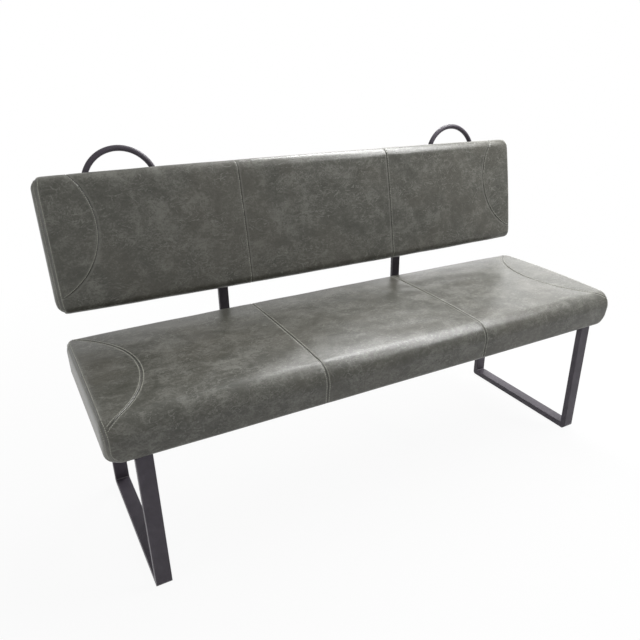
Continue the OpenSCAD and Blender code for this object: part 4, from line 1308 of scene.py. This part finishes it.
class BENCH_OT_stage(BenchOperator):
    """Set up the floor, the backdrop, the lamps and the camera"""

    bl_idname = "bench.stage"
    bl_label = "Stage"

    def execute(self, context):
        scene, bench = context.scene, context.scene.bench
        stage = bench.stage
        self.floor(bench.finish.floor)
        self.sky(scene, stage.sky)
        for name, power, place, target, size in (
            ("overhead_lamp", stage.overhead, (1.35, 0.27, 2.45), (0.3, 0, 0.5), (3.7, 0.42)),
            ("rear_lamp", stage.window, (3.4, 2.4, 1.7), (0.2, 0, 0.5), (3.2, 2.6)),
            ("front_lamp", stage.fill, (-2.75, -0.95, 1.2), (-0.4, 0, 0.6), (1.2, 1.0)),
        ):
            self.lamp(scene, name, power, place, target, size)
        data = bpy.data.cameras.new("camera")
        data.lens, data.sensor_width = stage.lens, 36.0
        data.shift_x, data.shift_y = stage.shift
        data.clip_end = 60.0
        camera = bpy.data.objects.new("camera", data)
        scene.collection.objects.link(camera)
        pitch, roll, yaw = stage.turn
        camera.matrix_world = turned(yaw, pitch, roll, stage.eye)
        scene.camera = camera
        scene.view_settings.view_transform = "Standard"
        return {"FINISHED"}

    @staticmethod
    def seen(tree):
        """1 for rays from the camera, reflections and refractions, and 0 for light."""
        path = node(tree, "ShaderNodeLightPath").outputs
        both = math_node(tree, "ADD", path["Is Camera Ray"], path["Is Glossy Ray"])
        return math_node(tree, "ADD", both, path["Is Transmission Ray"], clamp=True)

    def floor(self, tone):
        """A wide round floor that shows white to the camera and in reflections and keeps a
        soft shadow: for those rays its diffuse shade is mixed with a plain white glow,
        whose share grows to 1 with the distance from the bench."""
        angle = np.linspace(0, 2 * math.pi, FLOOR_SIDES, endpoint=False)
        rim = FLOOR_R * np.stack([np.cos(angle), np.sin(angle), 0 * angle], -1)
        piece = put_mesh("floor", rim, [list(range(len(rim)))])
        made = bpy.data.materials.new("Pale floor")
        made.use_nodes = True
        tree = made.node_tree
        tree.nodes.clear()
        matt = node(tree, "ShaderNodeBsdfDiffuse", {"Color": opaque(tone)}).outputs[0]
        glow = node(tree, "ShaderNodeEmission", {"Color": WHITE, "Strength": 1.0}).outputs[0]
        place = node(tree, "ShaderNodeTexCoord").outputs["Object"]
        far = node(tree, "ShaderNodeVectorMath", {0: place}, operation="LENGTH").outputs["Value"]
        share = times(tree, self.seen(tree), spread(tree, far, 0.9, 2.4, 0.94, 1.0))
        mixed = node(tree, "ShaderNodeMixShader", {0: share, 1: matt, 2: glow})
        node(tree, "ShaderNodeOutputMaterial", {0: mixed.outputs[0]})
        piece.data.materials.append(made)

    def sky(self, scene, strength):
        """An even sky that is white to the camera and in reflections."""
        world = bpy.data.worlds.new("sky")
        world.use_nodes = True
        tree = world.node_tree
        tree.nodes.clear()
        level = node(tree, "ShaderNodeMix", {0: self.seen(tree), 2: strength, 3: 1.0},
                     data_type="FLOAT").outputs[0]
        back = node(tree, "ShaderNodeBackground", {"Color": WHITE, "Strength": level})
        node(tree, "ShaderNodeOutputWorld", {0: back.outputs[0]})
        scene.world = world

    @staticmethod
    def lamp(scene, name, power, place, target, size):
        """A rectangular lamp at place that faces target."""
        data = bpy.data.lights.new(name, "AREA")
        data.shape, data.energy = "RECTANGLE", power
        data.size, data.size_y = size
        lamp = bpy.data.objects.new(name, data)
        scene.collection.objects.link(lamp)
        x, y, z = np.subtract(target, place)
        lamp.matrix_world = turned(math.atan2(y, x) - math.pi / 2,
                                   math.atan2(z, math.hypot(x, y)), 0.0, place)


def turned(yaw, pitch, roll, place):
    """The matrix of a camera or lamp at place that looks along y, raised by pitch, turned
    by yaw about the vertical and rolled about its own axis."""
    return (
        Matrix.Translation(place)
        @ Matrix.Rotation(yaw, 4, "Z")
        @ Matrix.Rotation(math.pi / 2 + pitch, 4, "X")
        @ Matrix.Rotation(roll, 4, "Z")
    )


class BENCH_PT_panel(Panel):
    """The bench's panel in the sidebar"""

    bl_idname = "BENCH_PT_panel"
    bl_label = "Bench"
    bl_space_type = "VIEW_3D"
    bl_region_type = "UI"
    bl_category = "Bench"

    def draw(self, context):
        layout, bench = self.layout, context.scene.bench
        for part in (bench.seat, bench.back, bench.sewing, bench.finish, bench.stage):
            box = layout.box()
            for name in part.__annotations__:
                box.prop(part, name)
        for step in STEPS:
            layout.operator(step.bl_idname)


STEPS = (
    BENCH_OT_stage, BENCH_OT_stretch, BENCH_OT_seat_cover, BENCH_OT_back_cover,
    BENCH_OT_stitching, BENCH_OT_foam, BENCH_OT_rear_panel, BENCH_OT_lining, BENCH_OT_welds,
    BENCH_OT_finishes,
)
CLASSES = (
    SeatSizes, BackSizes, SewingSizes, FinishColours, StageSizes, BenchSettings, *STEPS,
    BENCH_PT_panel,
)


def register():
    """Registers the classes and the scene's settings."""
    for made in CLASSES:
        bpy.utils.register_class(made)
    bpy.types.Scene.bench = PointerProperty(type=BenchSettings)


def unregister():
    """Removes the settings and the classes."""
    del bpy.types.Scene.bench
    for made in reversed(CLASSES):
        bpy.utils.unregister_class(made)


def main():
    register()
    bpy.ops.bench.stage()
    bpy.ops.bench.stretch()
    bpy.ops.bench.seat_cover()
    bpy.ops.bench.back_cover()
    bpy.ops.bench.stitching()
    bpy.ops.bench.foam()
    bpy.ops.bench.rear_panel()
    bpy.ops.bench.lining()
    bpy.ops.bench.welds()
    bpy.ops.bench.finishes()


if __name__ == "__main__":
    main()
